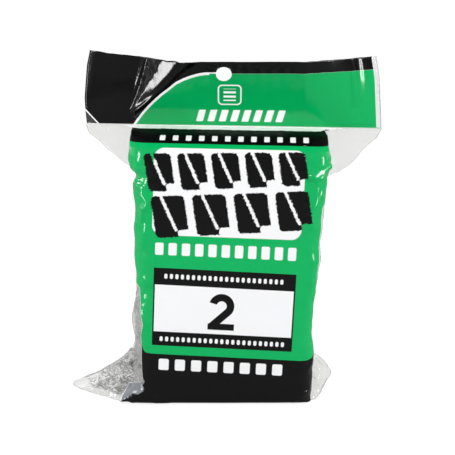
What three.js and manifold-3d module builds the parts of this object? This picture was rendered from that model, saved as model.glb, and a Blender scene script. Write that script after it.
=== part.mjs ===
// A shop pack of eight steel wool pads: a welded tube of film with a header that has a hang hole,
// standing on its foot, and the pads stacked inside it. Millimetres, +Z up. The front faces -Y, and
// the origin is under the middle of the stack, on the surface that the pack stands on.
import * as THREE from "three";
import { mergeVertices } from "three/addons/utils/BufferGeometryUtils.js";
import Module from "manifold-3d";

// Driving dimensions.
const filmWidth = 158; // of the empty bag, laid flat
const filmWall = 0.4;
const sealHeight = 146; // the weld under the header, above the foot
const headerHeight = 37.5;
const padCount = 8;
const padPitch = 17.45;
const hangHoleRadius = 3.95;
const ventHoleRadius = 2.2;

// The film round the stack.
const sealShift = 2.5; // the header sits this far to the right of the stack
const stackHalfDepth = 29.5;
const footRound = 3;
const eavesHeight = 139.5; // where the front turns into the sloping top
const eavesRound = 7.5;
const eavesDrop = 2.5; // what the half depth has lost at the eaves
const weldClearance = 2; // the layers cling together this far under the weld
const sideLeft = { foot: 51.5, top: 50.5 };
const sideRight = { foot: 45.5, top: 51.5 };
const cornerRadius = { left: 13, right: 9 };
const seamRidge = 0.9; // the tube's pressed edge, proud of the side
const shoulderFoot = 123; // where the clear shoulders leave the sides
const earWeld = 12; // how far the two layers cling together behind an ear's tip
const leftEar = { height: 27, tip: 86, neck: 25, flare: 7, flareHeight: 12, tipY: -5 };
const rightEar = { height: 19, reach: 13, peak: 7, neck: 8.5, foot: 0.45 };
const ventHole = {
  place: new THREE.Vector3(52, -9, 6),
  along: new THREE.Vector3(0.8, -0.6, 0),
  length: 14,
};

// The header leans forward, less towards its ends, and a buckle runs down its left side.
const leanAngle = THREE.MathUtils.degToRad(30);
const leanLeft = { end: -62, full: -34, share: 0.1 };
const leanRight = { end: 66, full: 34, share: 0.5 };
const hangHole = { x: -1.6, belowEdge: 6 };
const buckle = { apex: -51, apexUp: 6, top: -34, halfWidth: 11, depth: 8 };

// The pads.
const padHalfWidth = { bottom: 43.8, top: 47.4 };
const padHalfDepth = 27.8;
const padThickness = 17.1;
const padCorner = 10;
const padRound = 5;
const firstPadUp = 0.8;

// How finely the film is cut into faces.
const wrapColumns = 34;
const edgeColumns = 3;
const headerRows = 7;
const cornerSteps = 8;
const bodySpans = [
  [0, footRound, 2],
  [footRound, leftEar.height, 6],
  [leftEar.height, shoulderFoot, 4],
  [shoulderFoot, eavesHeight, 4],
  [eavesHeight, sealHeight - weldClearance, 3],
  [sealHeight - weldClearance, sealHeight, 1],
];

const { smoothstep, clamp, lerp } = THREE.MathUtils;
const wasm = await Module();
wasm.setup();

// A closed triangle mesh as a solid for cutting, and back again.
function toSolid(geometry) {
  const bare = new THREE.BufferGeometry();
  bare.setAttribute("position", geometry.getAttribute("position"));
  bare.setIndex(geometry.getIndex());
  const merged = mergeVertices(bare, 1e-4);
  return new wasm.Manifold(
    new wasm.Mesh({
      numProp: 3,
      vertProperties: merged.attributes.position.array,
      triVerts: new Uint32Array(merged.index.array),
    }),
  );
}

function toGeometry(solid) {
  const mesh = solid.getMesh();
  const geometry = new THREE.BufferGeometry();
  geometry.setAttribute("position", new THREE.BufferAttribute(mesh.vertProperties, 3));
  geometry.setIndex(new THREE.BufferAttribute(mesh.triVerts, 1));
  geometry.computeVertexNormals();
  return geometry;
}

// Half the stack's depth at a height: rounded at the foot, full up the front, then the sloping top.
function halfDepth(z) {
  const lift = clamp(footRound - z, 0, footRound);
  const foot = footRound - Math.sqrt(footRound ** 2 - lift ** 2);
  const round = eavesDrop * clamp((z - eavesHeight + eavesRound) / eavesRound, 0, 1) ** 2;
  const atEaves = stackHalfDepth - eavesDrop;
  const roof = (atEaves - filmWall) * clamp((z - eavesHeight) / (sealHeight - eavesHeight), 0, 1);
  return stackHalfDepth - foot - round - roof;
}

// How far the film's two edges stand out of a side: the shoulders at the top and the ears at the foot.
function edges(z) {
  const rise = clamp((z - shoulderFoot) / (sealHeight - shoulderFoot), 0, 1);
  const sideAt = (side) => lerp(side.foot, side.top, clamp(z / eavesHeight, 0, 1));
  const left = sideAt(sideLeft);
  const right = sideAt(sideRight);
  const fall = clamp(1 - z / leftEar.height, 0, 1);
  const flare = leftEar.flare * clamp(1 - z / leftEar.flareHeight, 0, 1);

  const crumple =
    z < rightEar.peak
      ? lerp(rightEar.foot, 1, z / rightEar.peak)
      : clamp((rightEar.height - z) / (rightEar.height - rightEar.peak), 0, 1);
  return {
    left: {
      side: left + flare,
      tip: left + seamRidge + (filmWidth / 2 - sealShift - left) * rise + (leftEar.tip - left) * fall,
      neck: filmWall + leftEar.neck * fall,
      tipY: leftEar.tipY * fall,
      radius: cornerRadius.left,
    },
    right: {
      side: right,
      tip: right + seamRidge + (filmWidth / 2 + sealShift - right) * rise + rightEar.reach * crumple,
      neck: filmWall + rightEar.neck * crumple,
      tipY: 0,
      radius: cornerRadius.right,
    },
  };
}

// One side of a section's front (face -1) or back (face 1): its edge's tip, its neck, its rounded corner.
function sidePath(edge, depth, inset, face) {
  const side = edge.side - inset;
  const open = smoothstep(edge.neck, 2, 8); // how far the hollow reaches into the edge
  const tip = inset ? Math.max(side, lerp(side, edge.tip - earWeld, open)) : edge.tip;
  const tipHalf = inset ? filmWall / 3 : filmWall;
  const neck = Math.min(Math.max(edge.neck - 2 * inset, filmWall), depth * 0.9);
  const radius = Math.min(edge.radius, depth - neck);
  const wrap = [new THREE.Vector2(side, face * neck)];
  for (let i = 0; i <= cornerSteps; i++) {
    const turn = (i / cornerSteps) * (Math.PI / 2);
    const x = side - radius * (1 - Math.cos(turn));
    wrap.push(new THREE.Vector2(x, face * (depth - radius * (1 - Math.sin(turn)))));
  }
  return { tip: new THREE.Vector2(tip, edge.tipY * (inset ? open : 1) + face * tipHalf), wrap };
}

// A section's front or back at a height, as points from left to right: each edge evenly, and so the rest.
function sectionHalf(z, inset, face) {
  const depth = Math.max(halfDepth(z) - inset, filmWall);
  const both = edges(z);
  const left = sidePath(both.left, depth, inset, face);
  const right = sidePath(both.right, depth, inset, face);
  const mirrored = left.wrap.map(({ x, y }) => new THREE.Vector2(-x, y));
  const wrap = new THREE.Path([...mirrored, ...right.wrap.reverse()]).getSpacedPoints(wrapColumns);
  const leftTip = new THREE.Vector2(-left.tip.x, left.tip.y);
  const points = [...wrap];
  for (let i = 1; i <= edgeColumns; i++) {
    const share = i / edgeColumns;
    points.unshift(wrap[0].clone().lerp(leftTip, share));
    points.push(wrap.at(-1).clone().lerp(right.tip, share));
  }
  return points.map(({ x, y }) => new THREE.Vector3(x, y, z));
}

function bodyHeights(from, to) {
  const heights = [bodySpans[0][0]];
  for (const [low, high, steps] of bodySpans) {
    for (let i = 1; i <= steps; i++) heights.push(lerp(low, high, i / steps));
  }
  return heights.map((z) => clamp(z, from, to)).filter((z, i, all) => i === 0 || z > all[i - 1]);
}

// Closes a stack of rows, each of front points and then back points, into one shell.
function shellOf(rows) {
  const count = rows[0].front.length;
  const ring = rows.map(({ front, back }) => [...front, ...[...back].reverse()]);
  const at = (row, i) => row * 2 * count + ((i + 2 * count) % (2 * count));
  const faces = [];
  for (let row = 0; row + 1 < ring.length; row++) {
    for (let i = 0; i < 2 * count; i++) {
      faces.push(at(row, i), at(row, i + 1), at(row + 1, i + 1));
      faces.push(at(row, i), at(row + 1, i + 1), at(row + 1, i));
    }
  }
  const last = ring.length - 1;
  for (let i = 0; i + 1 < count; i++) {
    const opposite = 2 * count - 1 - i;
    faces.push(at(0, i), at(0, opposite), at(0, i + 1));
    faces.push(at(0, i + 1), at(0, opposite), at(0, opposite - 1));
    faces.push(at(last, i), at(last, i + 1), at(last, opposite));
    faces.push(at(last, i + 1), at(last, opposite - 1), at(last, opposite));
  }
  const geometry = new THREE.BufferGeometry();
  const points = ring.flat().flatMap((p) => [p.x, p.y, p.z]);
  geometry.setAttribute("position", new THREE.Float32BufferAttribute(points, 3));
  geometry.setIndex(faces);
  return geometry;
}

function bodyRow(z, inset) {
  return { front: sectionHalf(z, inset, -1), back: sectionHalf(z, inset, 1) };
}

// The middle of the header's two layers: across is the film's own place, and up is measured from the weld.
function headerPoint(across, up) {
  const leaning =
    lerp(leanLeft.share, 1, smoothstep(across, leanLeft.end, leanLeft.full)) *
    lerp(1, leanRight.share, smoothstep(across, leanRight.full, leanRight.end));
  const angle = leanAngle * leaning * smoothstep(up, -4, headerHeight);
  const share = clamp((up - buckle.apexUp) / (headerHeight - buckle.apexUp), 0, 1);
  const middle = lerp(buckle.apex, buckle.top, share);
  const offset = clamp((across - middle) / (1 + buckle.halfWidth * share), -1, 1);
  const valley = buckle.depth * share * Math.cos((offset * Math.PI) / 2) ** 2;
  return new THREE.Vector3(
    across + sealShift,
    valley - up * Math.sin(angle),
    sealHeight + up * Math.cos(angle),
  );
}

// A row of the header over the points of the weld.
function headerRow(up, weld) {
  const layer = (face) =>
    weld.map(({ x }) => {
      const middle = headerPoint(x - sealShift, up);
      return middle.setY(middle.y + face * filmWall);
    });
  return { front: layer(-1), back: layer(1) };
}

function roundBar(radius, length, place, direction) {
  const bar = new THREE.CylinderGeometry(radius, radius, length, 24);
  const turn = new THREE.Quaternion().setFromUnitVectors(
    new THREE.Vector3(0, 1, 0),
    direction.clone().normalize(),
  );
  bar.applyQuaternion(turn);
  bar.translate(place.x, place.y, place.z);
  return toSolid(bar);
}

// The bag: one tube of film from the foot to the top of the header, hollow round the stack.
function makeBag() {
  const rows = bodyHeights(0, sealHeight).map((z) => bodyRow(z, 0));
  const weld = rows.at(-1).front;
  for (let row = 1; row <= headerRows; row++) rows.push(headerRow((headerHeight * row) / headerRows, weld));
  const outside = toSolid(shellOf(rows));

  const cavityTop = sealHeight - weldClearance;
  const cavityRows = bodyHeights(filmWall, cavityTop).map((z) => bodyRow(z, filmWall));
  const cavity = toSolid(shellOf(cavityRows));

  const hangPlace = headerPoint(hangHole.x - sealShift, headerHeight - hangHole.belowEdge);
  const hangPunch = roundBar(hangHoleRadius, headerHeight, hangPlace, new THREE.Vector3(0, 1, 0));
  const ventPunch = roundBar(ventHoleRadius, ventHole.length, ventHole.place, ventHole.along);
  return toGeometry(outside.subtract(cavity).subtract(hangPunch).subtract(ventPunch));
}

// A pad: a ribbon of wool folded on itself into a soft block, flat where it lies on the next one.
function makePad(index) {
  const halfWidth = lerp(padHalfWidth.bottom, padHalfWidth.top, index / (padCount - 1));
  const x = halfWidth - padRound;
  const y = padHalfDepth - padRound;
  const r = padCorner - padRound;
  const outline = new THREE.Shape();
  outline.absarc(x - r, y - r, r, 0, Math.PI / 2);
  outline.absarc(-x + r, y - r, r, Math.PI / 2, Math.PI);
  outline.absarc(-x + r, -y + r, r, Math.PI, 1.5 * Math.PI);
  outline.absarc(x - r, -y + r, r, 1.5 * Math.PI, 2 * Math.PI);
  const pad = new THREE.ExtrudeGeometry(outline, {
    depth: padThickness - 2 * padRound,
    curveSegments: 4,
    bevelThickness: padRound,
    bevelSize: padRound,
    bevelSegments: 2,
  });
  pad.translate(0, 0, padRound - padThickness / 2);
  return toGeometry(toSolid(pad));
}

const filmFinish = new THREE.MeshStandardMaterial({
  name: "printed_film",
  color: 0x12a455,
  roughness: 0.25,
  metalness: 0,
});
const woolFinish = new THREE.MeshStandardMaterial({
  name: "steel_wool",
  color: 0x8a8a86,
  roughness: 0.55,
  metalness: 0.8,
});

const pack = new THREE.Group();
const bag = new THREE.Mesh(makeBag(), filmFinish);
bag.name = "film_bag";
pack.add(bag);
for (let index = 0; index < padCount; index++) {
  const pad = new THREE.Mesh(makePad(index), woolFinish);
  pad.name = `wool_pad_${index + 1}`;
  pad.position.set(0, 0, firstPadUp + padThickness / 2 + padPitch * index);
  pack.add(pad);
}

export default pack;
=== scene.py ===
"""A shop pack of eight steel wool pads: a printed film bag with a hang-hole header, and the pads in it."""

from __future__ import annotations

import logging
import math
from dataclasses import dataclass
from enum import Enum
from functools import partialmethod

import bpy
import numpy as np
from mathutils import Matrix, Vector


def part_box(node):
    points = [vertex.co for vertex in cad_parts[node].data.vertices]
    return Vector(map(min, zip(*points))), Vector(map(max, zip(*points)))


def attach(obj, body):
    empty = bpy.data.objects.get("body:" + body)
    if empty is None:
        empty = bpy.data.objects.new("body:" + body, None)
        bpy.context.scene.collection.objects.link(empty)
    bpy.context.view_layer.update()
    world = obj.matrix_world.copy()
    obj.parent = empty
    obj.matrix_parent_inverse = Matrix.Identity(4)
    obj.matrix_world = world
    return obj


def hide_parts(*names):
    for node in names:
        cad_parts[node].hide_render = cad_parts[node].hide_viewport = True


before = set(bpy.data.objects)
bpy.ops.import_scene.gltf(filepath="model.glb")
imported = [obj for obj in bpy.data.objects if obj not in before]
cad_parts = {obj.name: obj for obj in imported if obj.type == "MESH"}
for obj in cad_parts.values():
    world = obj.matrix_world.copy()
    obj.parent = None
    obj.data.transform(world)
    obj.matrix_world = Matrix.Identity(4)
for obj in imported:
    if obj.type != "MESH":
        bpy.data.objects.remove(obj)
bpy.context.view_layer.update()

Array = np.ndarray
Piece = bpy.types.Object
Pair = tuple[float, float]
Knots = tuple[Pair, ...]
Colour = tuple[float, float, float, float]

LOG = logging.getLogger("wool_pack")
MM = 0.001
TINY = 1e-9  # keeps a vector of no length from being divided by zero
BODY = "root"

# The pack's driving sizes, in millimetres.
PAD_COUNT = 8
PAD_PITCH = 17.45
STACK_DEPTH = 29.5  # half the depth, from the middle to the front
FOOT_ROUND = 3.0
EAVES_HEIGHT = 139.5
EAVES_ROUND = 7.5
EAVES_DROP = 2.5
WELD_HEIGHT = 145.2
FILM_HALF_WIDTH = 79.5
INK_HALF_WIDTH = 48.5
BACK_OFFSET = 1000.0  # the back's print lies this far along the print's first axis
CRUMPLE_WAVES = 6
WIRE_SIDES = 3
WIRE_END, WIRE_GROWTH = 0.25, 3.0  # share of the radius at a wire's end, and its growth along the wire
ASKEW = np.array([0.31, 0.55, 0.77])  # no wire runs just this way, so its cross product never vanishes

# The roof from the eaves to the weld: half depth, height and length along the film.
ROOF_STEPS = 1.0 - (1.0 - np.linspace(0.0, 1.0, 25)) ** 1.7
ROOF_DEPTH = (STACK_DEPTH - EAVES_DROP) * (1.0 - 0.25 * ROOF_STEPS - 0.75 * ROOF_STEPS**4) + 0.2 * ROOF_STEPS
ROOF_HEIGHT = EAVES_HEIGHT + (WELD_HEIGHT - EAVES_HEIGHT) * ROOF_STEPS
ROOF_LENGTH = np.cumsum(np.hypot(np.diff(ROOF_DEPTH), np.diff(ROOF_HEIGHT)))
ROOF_UP = EAVES_HEIGHT + np.concatenate([[0.0], ROOF_LENGTH])
WELD_UP = float(ROOF_UP[-1])  # the weld's place on the print
STRIP_UP = WELD_UP - 10.5  # where the black band ends and the plain strip under the weld starts


class Slot(Enum):
    """The record's material slots."""

    FILM = "printed_film"
    WOOL = "steel_wool"


class Face(Enum):
    """A half of the bag, by the sign of its y."""

    FRONT = -1.0
    BACK = 1.0


def smooth(x: Array, low: float, high: float) -> Array:
    """Smooth step of an array, 0 at low and 1 at high; low may be the greater.

    Args:
        x: The values.
        low: Where the step starts.
        high: Where it ends.

    Returns:
        An array of the same shape, from 0 to 1.
    """
    t = np.clip((x - low) / (high - low), 0.0, 1.0)
    return t * t * (3.0 - 2.0 * t)


def straight(x: Array, knots: Knots) -> Array:
    """Straight lines between knots, read at x, and level beyond the first and the last."""
    return np.interp(x, *np.array(knots).T)


def through(x: Array, knots: Knots) -> Array:
    """A smooth curve through knots, level at each of them.

    Args:
        x: Where to read the curve.
        knots: Pairs of place and value, with the places rising.

    Returns:
        The curve's values at x.
    """
    places, values = np.array(knots).T
    i = np.clip(np.searchsorted(places, x) - 1, 0, len(places) - 2)
    t = np.clip((x - places[i]) / (places[i + 1] - places[i]), 0.0, 1.0)
    return values[i] + (values[i + 1] - values[i]) * t * t * (3.0 - 2.0 * t)


def unit(vectors: Array) -> Array:
    """Vectors along the last axis, brought to length 1."""
    return vectors / np.maximum(np.linalg.norm(vectors, axis=-1, keepdims=True), TINY)


def crumple(p: Array, q: Array, length: float, seed: int) -> Array:
    """Facets of crumpled film: a sum of triangle waves that run in random directions with a slight bend.

    Args:
        p: First film coordinate.
        q: Second film coordinate.
        length: Typical distance between creases.
        seed: Seed of the directions.

    Returns:
        Heights of about -0.5 to 0.5.
    """
    rng = np.random.default_rng(seed)
    total = np.zeros(np.broadcast(p, q).shape)
    for _ in range(CRUMPLE_WAVES):
        angle, stretch, phase, bend = rng.uniform(0.0, 1.0, 4)
        angle *= math.pi
        wave_length = length * (0.6 + stretch)
        along = -p * math.sin(angle) + q * math.cos(angle)
        across = p * math.cos(angle) + q * math.sin(angle)
        sway = 0.3 * bend * np.sin(along / (1.3 * length) + 6.0 * phase)
        wave = across / wave_length + phase + sway
        total += np.abs(2.0 * (wave - np.floor(wave)) - 1.0) - 0.5
    return total / math.sqrt(CRUMPLE_WAVES)


def faceted(p: Array, q: Array, facets: tuple[tuple[float, float, Array | float], ...], seed: int) -> Array:
    """Crumpled facets of several sizes, one over the other.

    Args:
        p: First film coordinate.
        q: Second film coordinate.
        facets: For each size its distance between creases, its stretch up the film and its height.
        seed: The number before the first size's seed.

    Returns:
        The height at each place.
    """
    total = np.zeros(p.shape)
    for number, (length, squeeze, height) in enumerate(facets, start=1):
        total += height * crumple(p, squeeze * q, length, seed + number)
    return total


def cell_corners(grid: Array) -> list[Array]:
    """The values of a grid at the four corners of each of its cells, in turn round the cell."""
    return [grid[:-1, :-1], grid[:-1, 1:], grid[1:, 1:], grid[1:, :-1]]


def own_corners(faces: Array) -> Array:
    """Which corners of the quads to keep, so that a quad with a doubled corner becomes a triangle.

    Args:
        faces: Vertex indices, four to a face.

    Returns:
        A mask of the same shape.
    """
    kept = np.ones(faces.shape, bool)
    for corner in (1, 2, 3):
        kept[:, corner] = (faces[:, :corner] != faces[:, corner : corner + 1]).all(axis=1)
    return kept


def new_mesh(name: str, points: Array, faces: Array) -> Piece:
    """Links a smooth mesh object at the origin.

    Args:
        name: The piece's name.
        points: Vertex places in millimetres, as rows of three.
        faces: Vertex indices, four to a face, with one doubled where the face is a triangle.

    Returns:
        The new object, with its mesh in metres.
    """
    kept = own_corners(faces)
    sizes = kept.sum(axis=1)
    mesh = bpy.data.meshes.new(name)
    mesh.vertices.add(len(points))
    mesh.vertices.foreach_set("co", (points * MM).astype(np.float32).ravel())
    mesh.loops.add(int(sizes.sum()))
    mesh.loops.foreach_set("vertex_index", faces[kept].astype(np.int32))
    mesh.polygons.add(len(faces))
    mesh.polygons.foreach_set("loop_start", (np.cumsum(sizes) - sizes).astype(np.int32))
    mesh.update(calc_edges=True)
    mesh.polygons.foreach_set("use_smooth", np.ones(len(faces), bool))
    piece = bpy.data.objects.new(name, mesh)
    bpy.context.scene.collection.objects.link(piece)
    return piece


def mount(piece: Piece, slot: Slot, *nodes: str) -> None:
    """Puts a piece on the pack's one body and hides the CAD nodes that it stands for.

    Args:
        piece: The piece.
        slot: Its material slot; not used.
        *nodes: CAD nodes that it replaces.
    """
    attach(piece, BODY)
    if nodes:
        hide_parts(*nodes)
    LOG.info("%s: %d faces", piece.name, len(piece.data.polygons))


@dataclass(frozen=True)
class Line:
    """A straight line on the film, between two places in film millimetres.

    Args:
        start: One end's film coordinates.
        end: The other end's.
    """

    start: Pair
    end: Pair

    def beside(self, p: Array, q: Array) -> tuple[Array, Array, float]:
        """Where film lies along the line and beside it: products with the line's direction and its normal.

        Args:
            p: First film coordinate.
            q: Second film coordinate.

        Returns:
            Length along the line from its start, distance to its side with a sign, and the line's length.
        """
        dp, dq = self.end[0] - self.start[0], self.end[1] - self.start[1]
        length = math.hypot(dp, dq)
        along = ((p - self.start[0]) * dp + (q - self.start[1]) * dq) / length
        aside = ((p - self.start[0]) * dq - (q - self.start[1]) * dp) / length
        return along, aside, length


@dataclass(frozen=True)
class Crease(Line):
    """A crease in the film, as a ridge or a valley.

    Args:
        height: Height at the middle, outwards; below 0 for a valley.
        width: Half width.
        bow: How far the middle of the line bends aside.
    """

    height: float
    width: float
    bow: float = 0.0

    ROUNDNESS = 0.15
    PEAK = 0.387  # the square root of the roundness, so that the bell's top is 1

    def lift(self, p: Array, q: Array) -> Array:
        """Height over the film: a pointed bell across the line, which tapers at both ends.

        Args:
            p: First film coordinate.
            q: Second film coordinate.

        Returns:
            The height at each place.
        """
        along, aside, length = self.beside(p, q)
        hump = 4.0 * along / length * (1.0 - along / length)
        aside = (aside - self.bow * hump) / self.width
        taper = np.clip(hump, 0.0, 1.0) ** 0.5
        return self.height * taper * np.exp(self.PEAK - np.sqrt(aside**2 + self.ROUNDNESS))


@dataclass(frozen=True)
class Pleat(Line):
    """A taut strip at a front corner, where the film stands straight off the curve.

    Args:
        flat: Half width of the flat strip.
        fall: Width over which it falls back to the curve on each side.
    """

    flat: float
    fall: float

    def share(self, s: Array, q: Array) -> Array:
        """How far the film has joined the strip, by its distance from the line and from the line's ends.

        Args:
            s: Film length from the middle.
            q: Film height.

        Returns:
            Values from 0 to 1.
        """
        along, aside, length = self.beside(s, q)
        beyond = np.maximum(np.maximum(-along, along - length), 0.0)
        return smooth(np.hypot(aside, beyond), self.flat + self.fall, self.flat)


@dataclass(frozen=True)
class Side:
    """One side of the bag, left or right of the stack. Sizes are in millimetres.

    Args:
        wall: Height and distance of the side from the middle, up the stack.
        fin: Height and reach of the clear shoulder's edge.
        fin_opening: How far the shoulder's two layers gape where they leave the side.
        ear: Height and reach of the folded ear's edge.
        ear_neck: Height and half width of the ear's mouth.
        ear_bow: Height and how far the ear's layers bulge between its mouth and its tip.
        tip_y: Height and how far forward the ear's tip stands, below 0 to the front.
        radius: Corner radius.
        print_edge: Film height and film length from the middle of the ink's side edge.
    """

    wall: Knots
    fin: Knots
    fin_opening: float
    ear: Knots
    ear_neck: Knots
    ear_bow: Knots
    tip_y: Knots
    radius: float
    print_edge: Knots

    EAR_FULL = 9.0  # the reach from which an ear bulges fully
    LEAST_NECK = 0.2
    MOST_NECK = 0.92  # as a share of the stack's half depth
    FIN_ROUNDNESS = 0.7

    def neck(self, z: Array, gone: Array, depth: Array) -> Array:
        """Half width of the gap between the layers where they leave the side, at the ear or the shoulder.

        Args:
            z: Height of each row.
            gone: How far the row has gone under the foot, from 0 to 1.
            depth: Half depth of the stack there.

        Returns:
            One value for each row.
        """
        risen = np.clip((z - self.fin[0][0]) / (WELD_HEIGHT - self.fin[0][0]), 0.0, 1.0)
        neck = straight(z, self.ear_neck) * (1.0 - gone)
        neck = neck + self.fin_opening * np.sin(risen * math.pi) ** self.FIN_ROUNDNESS
        return np.minimum(np.maximum(neck, self.LEAST_NECK), self.MOST_NECK * depth)


LEFT = Side(
    wall=((0.0, 58.5), (12.0, 51.4), (30.0, 50.0), (34.5, 50.2), (39.0, 50.8), (46.0, 51.0), (52.5, 50.3),
          (57.0, 49.0), (61.4, 48.1), (66.0, 48.8), (75.0, 48.8), (92.0, 49.0), (100.0, 48.4), (113.4, 48.6),
          (117.3, 49.0), (121.3, 47.6), (125.5, 50.2), (130.0, 50.8), (139.5, 50.4)),
    fin=((119.4, 0.6), (123.5, 3.0), (126.3, 6.2), (129.6, 9.2), (132.6, 13.4), (136.5, 17.6),
         (140.6, 23.0), (145.2, 25.0)),
    fin_opening=5.0,
    ear=((0.0, 23.6), (0.5, 24.3), (1.8, 28.3), (3.2, 28.9), (4.6, 29.3), (4.9, 24.2), (6.3, 23.0),
         (8.0, 21.5), (9.6, 19.6), (11.3, 17.2), (12.9, 14.4), (14.5, 11.6), (16.2, 9.2), (17.8, 6.9),
         (19.5, 5.2), (21.1, 3.8), (22.7, 2.7), (25.0, 1.5), (27.0, 0.6)),
    ear_neck=((0.0, 26.0), (27.0, 0.3)),
    ear_bow=((0.0, 0.5), (5.0, 3.0), (24.0, 3.2)),
    tip_y=((0.0, -8.5), (4.0, -5.5), (24.0, -1.0)),
    radius=12.0,
    print_edge=((-30.0, -43.0), (-4.0, -44.0), (-1.0, -52.0), (0.5, -53.2), (8.4, -53.4), (9.4, -50.4),
                (11.9, -41.9), (12.6, -41.3), (18.4, -42.2), (32.2, -43.1), (37.9, -43.5), (43.9, -42.0),
                (51.6, -44.1), (56.5, -44.5), (63.5, -46.1), (65.2, -51.5), (72.0, -56.0), (90.0, -59.0)),
)
RIGHT = Side(
    wall=((0.0, 45.0), (6.0, 45.6), (24.0, 46.2), (30.0, 46.2), (39.0, 45.0), (43.5, 45.0), (52.5, 45.8),
          (61.4, 46.6), (70.0, 48.2), (79.0, 49.0), (88.0, 48.8), (96.0, 49.4), (105.0, 50.5),
          (113.4, 50.7), (120.0, 51.6), (127.0, 52.8), (131.0, 52.8), (139.5, 51.6)),
    fin=((118.0, 0.6), (119.6, 4.0), (121.2, 8.6), (125.8, 13.5), (132.6, 18.6), (140.4, 28.2),
         (145.2, 30.6)),
    fin_opening=6.0,
    ear=((0.0, 8.3), (1.4, 9.1), (4.6, 10.7), (6.2, 12.1), (7.8, 12.8), (9.3, 12.5), (10.9, 11.2),
         (12.5, 10.3), (15.7, 7.5), (17.3, 5.6), (18.4, 3.2), (19.6, 0.6)),
    ear_neck=((0.0, 24.0), (6.9, 14.0), (12.0, 8.0), (20.4, 0.3)),
    ear_bow=((0.0, 5.2), (8.0, 4.0), (20.0, 3.2)),
    tip_y=((0.0, -6.5), (20.0, 0.0)),
    radius=9.0,
    print_edge=((-30.0, 43.0), (-3.0, 45.0), (0.0, 52.0), (24.0, 54.5), (50.0, 54.5), (62.0, 51.0),
                (75.0, 50.0), (88.0, 50.0), (105.5, 49.6), (109.5, 54.0), (122.0, 57.0), (150.0, 58.0)),
)


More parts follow.
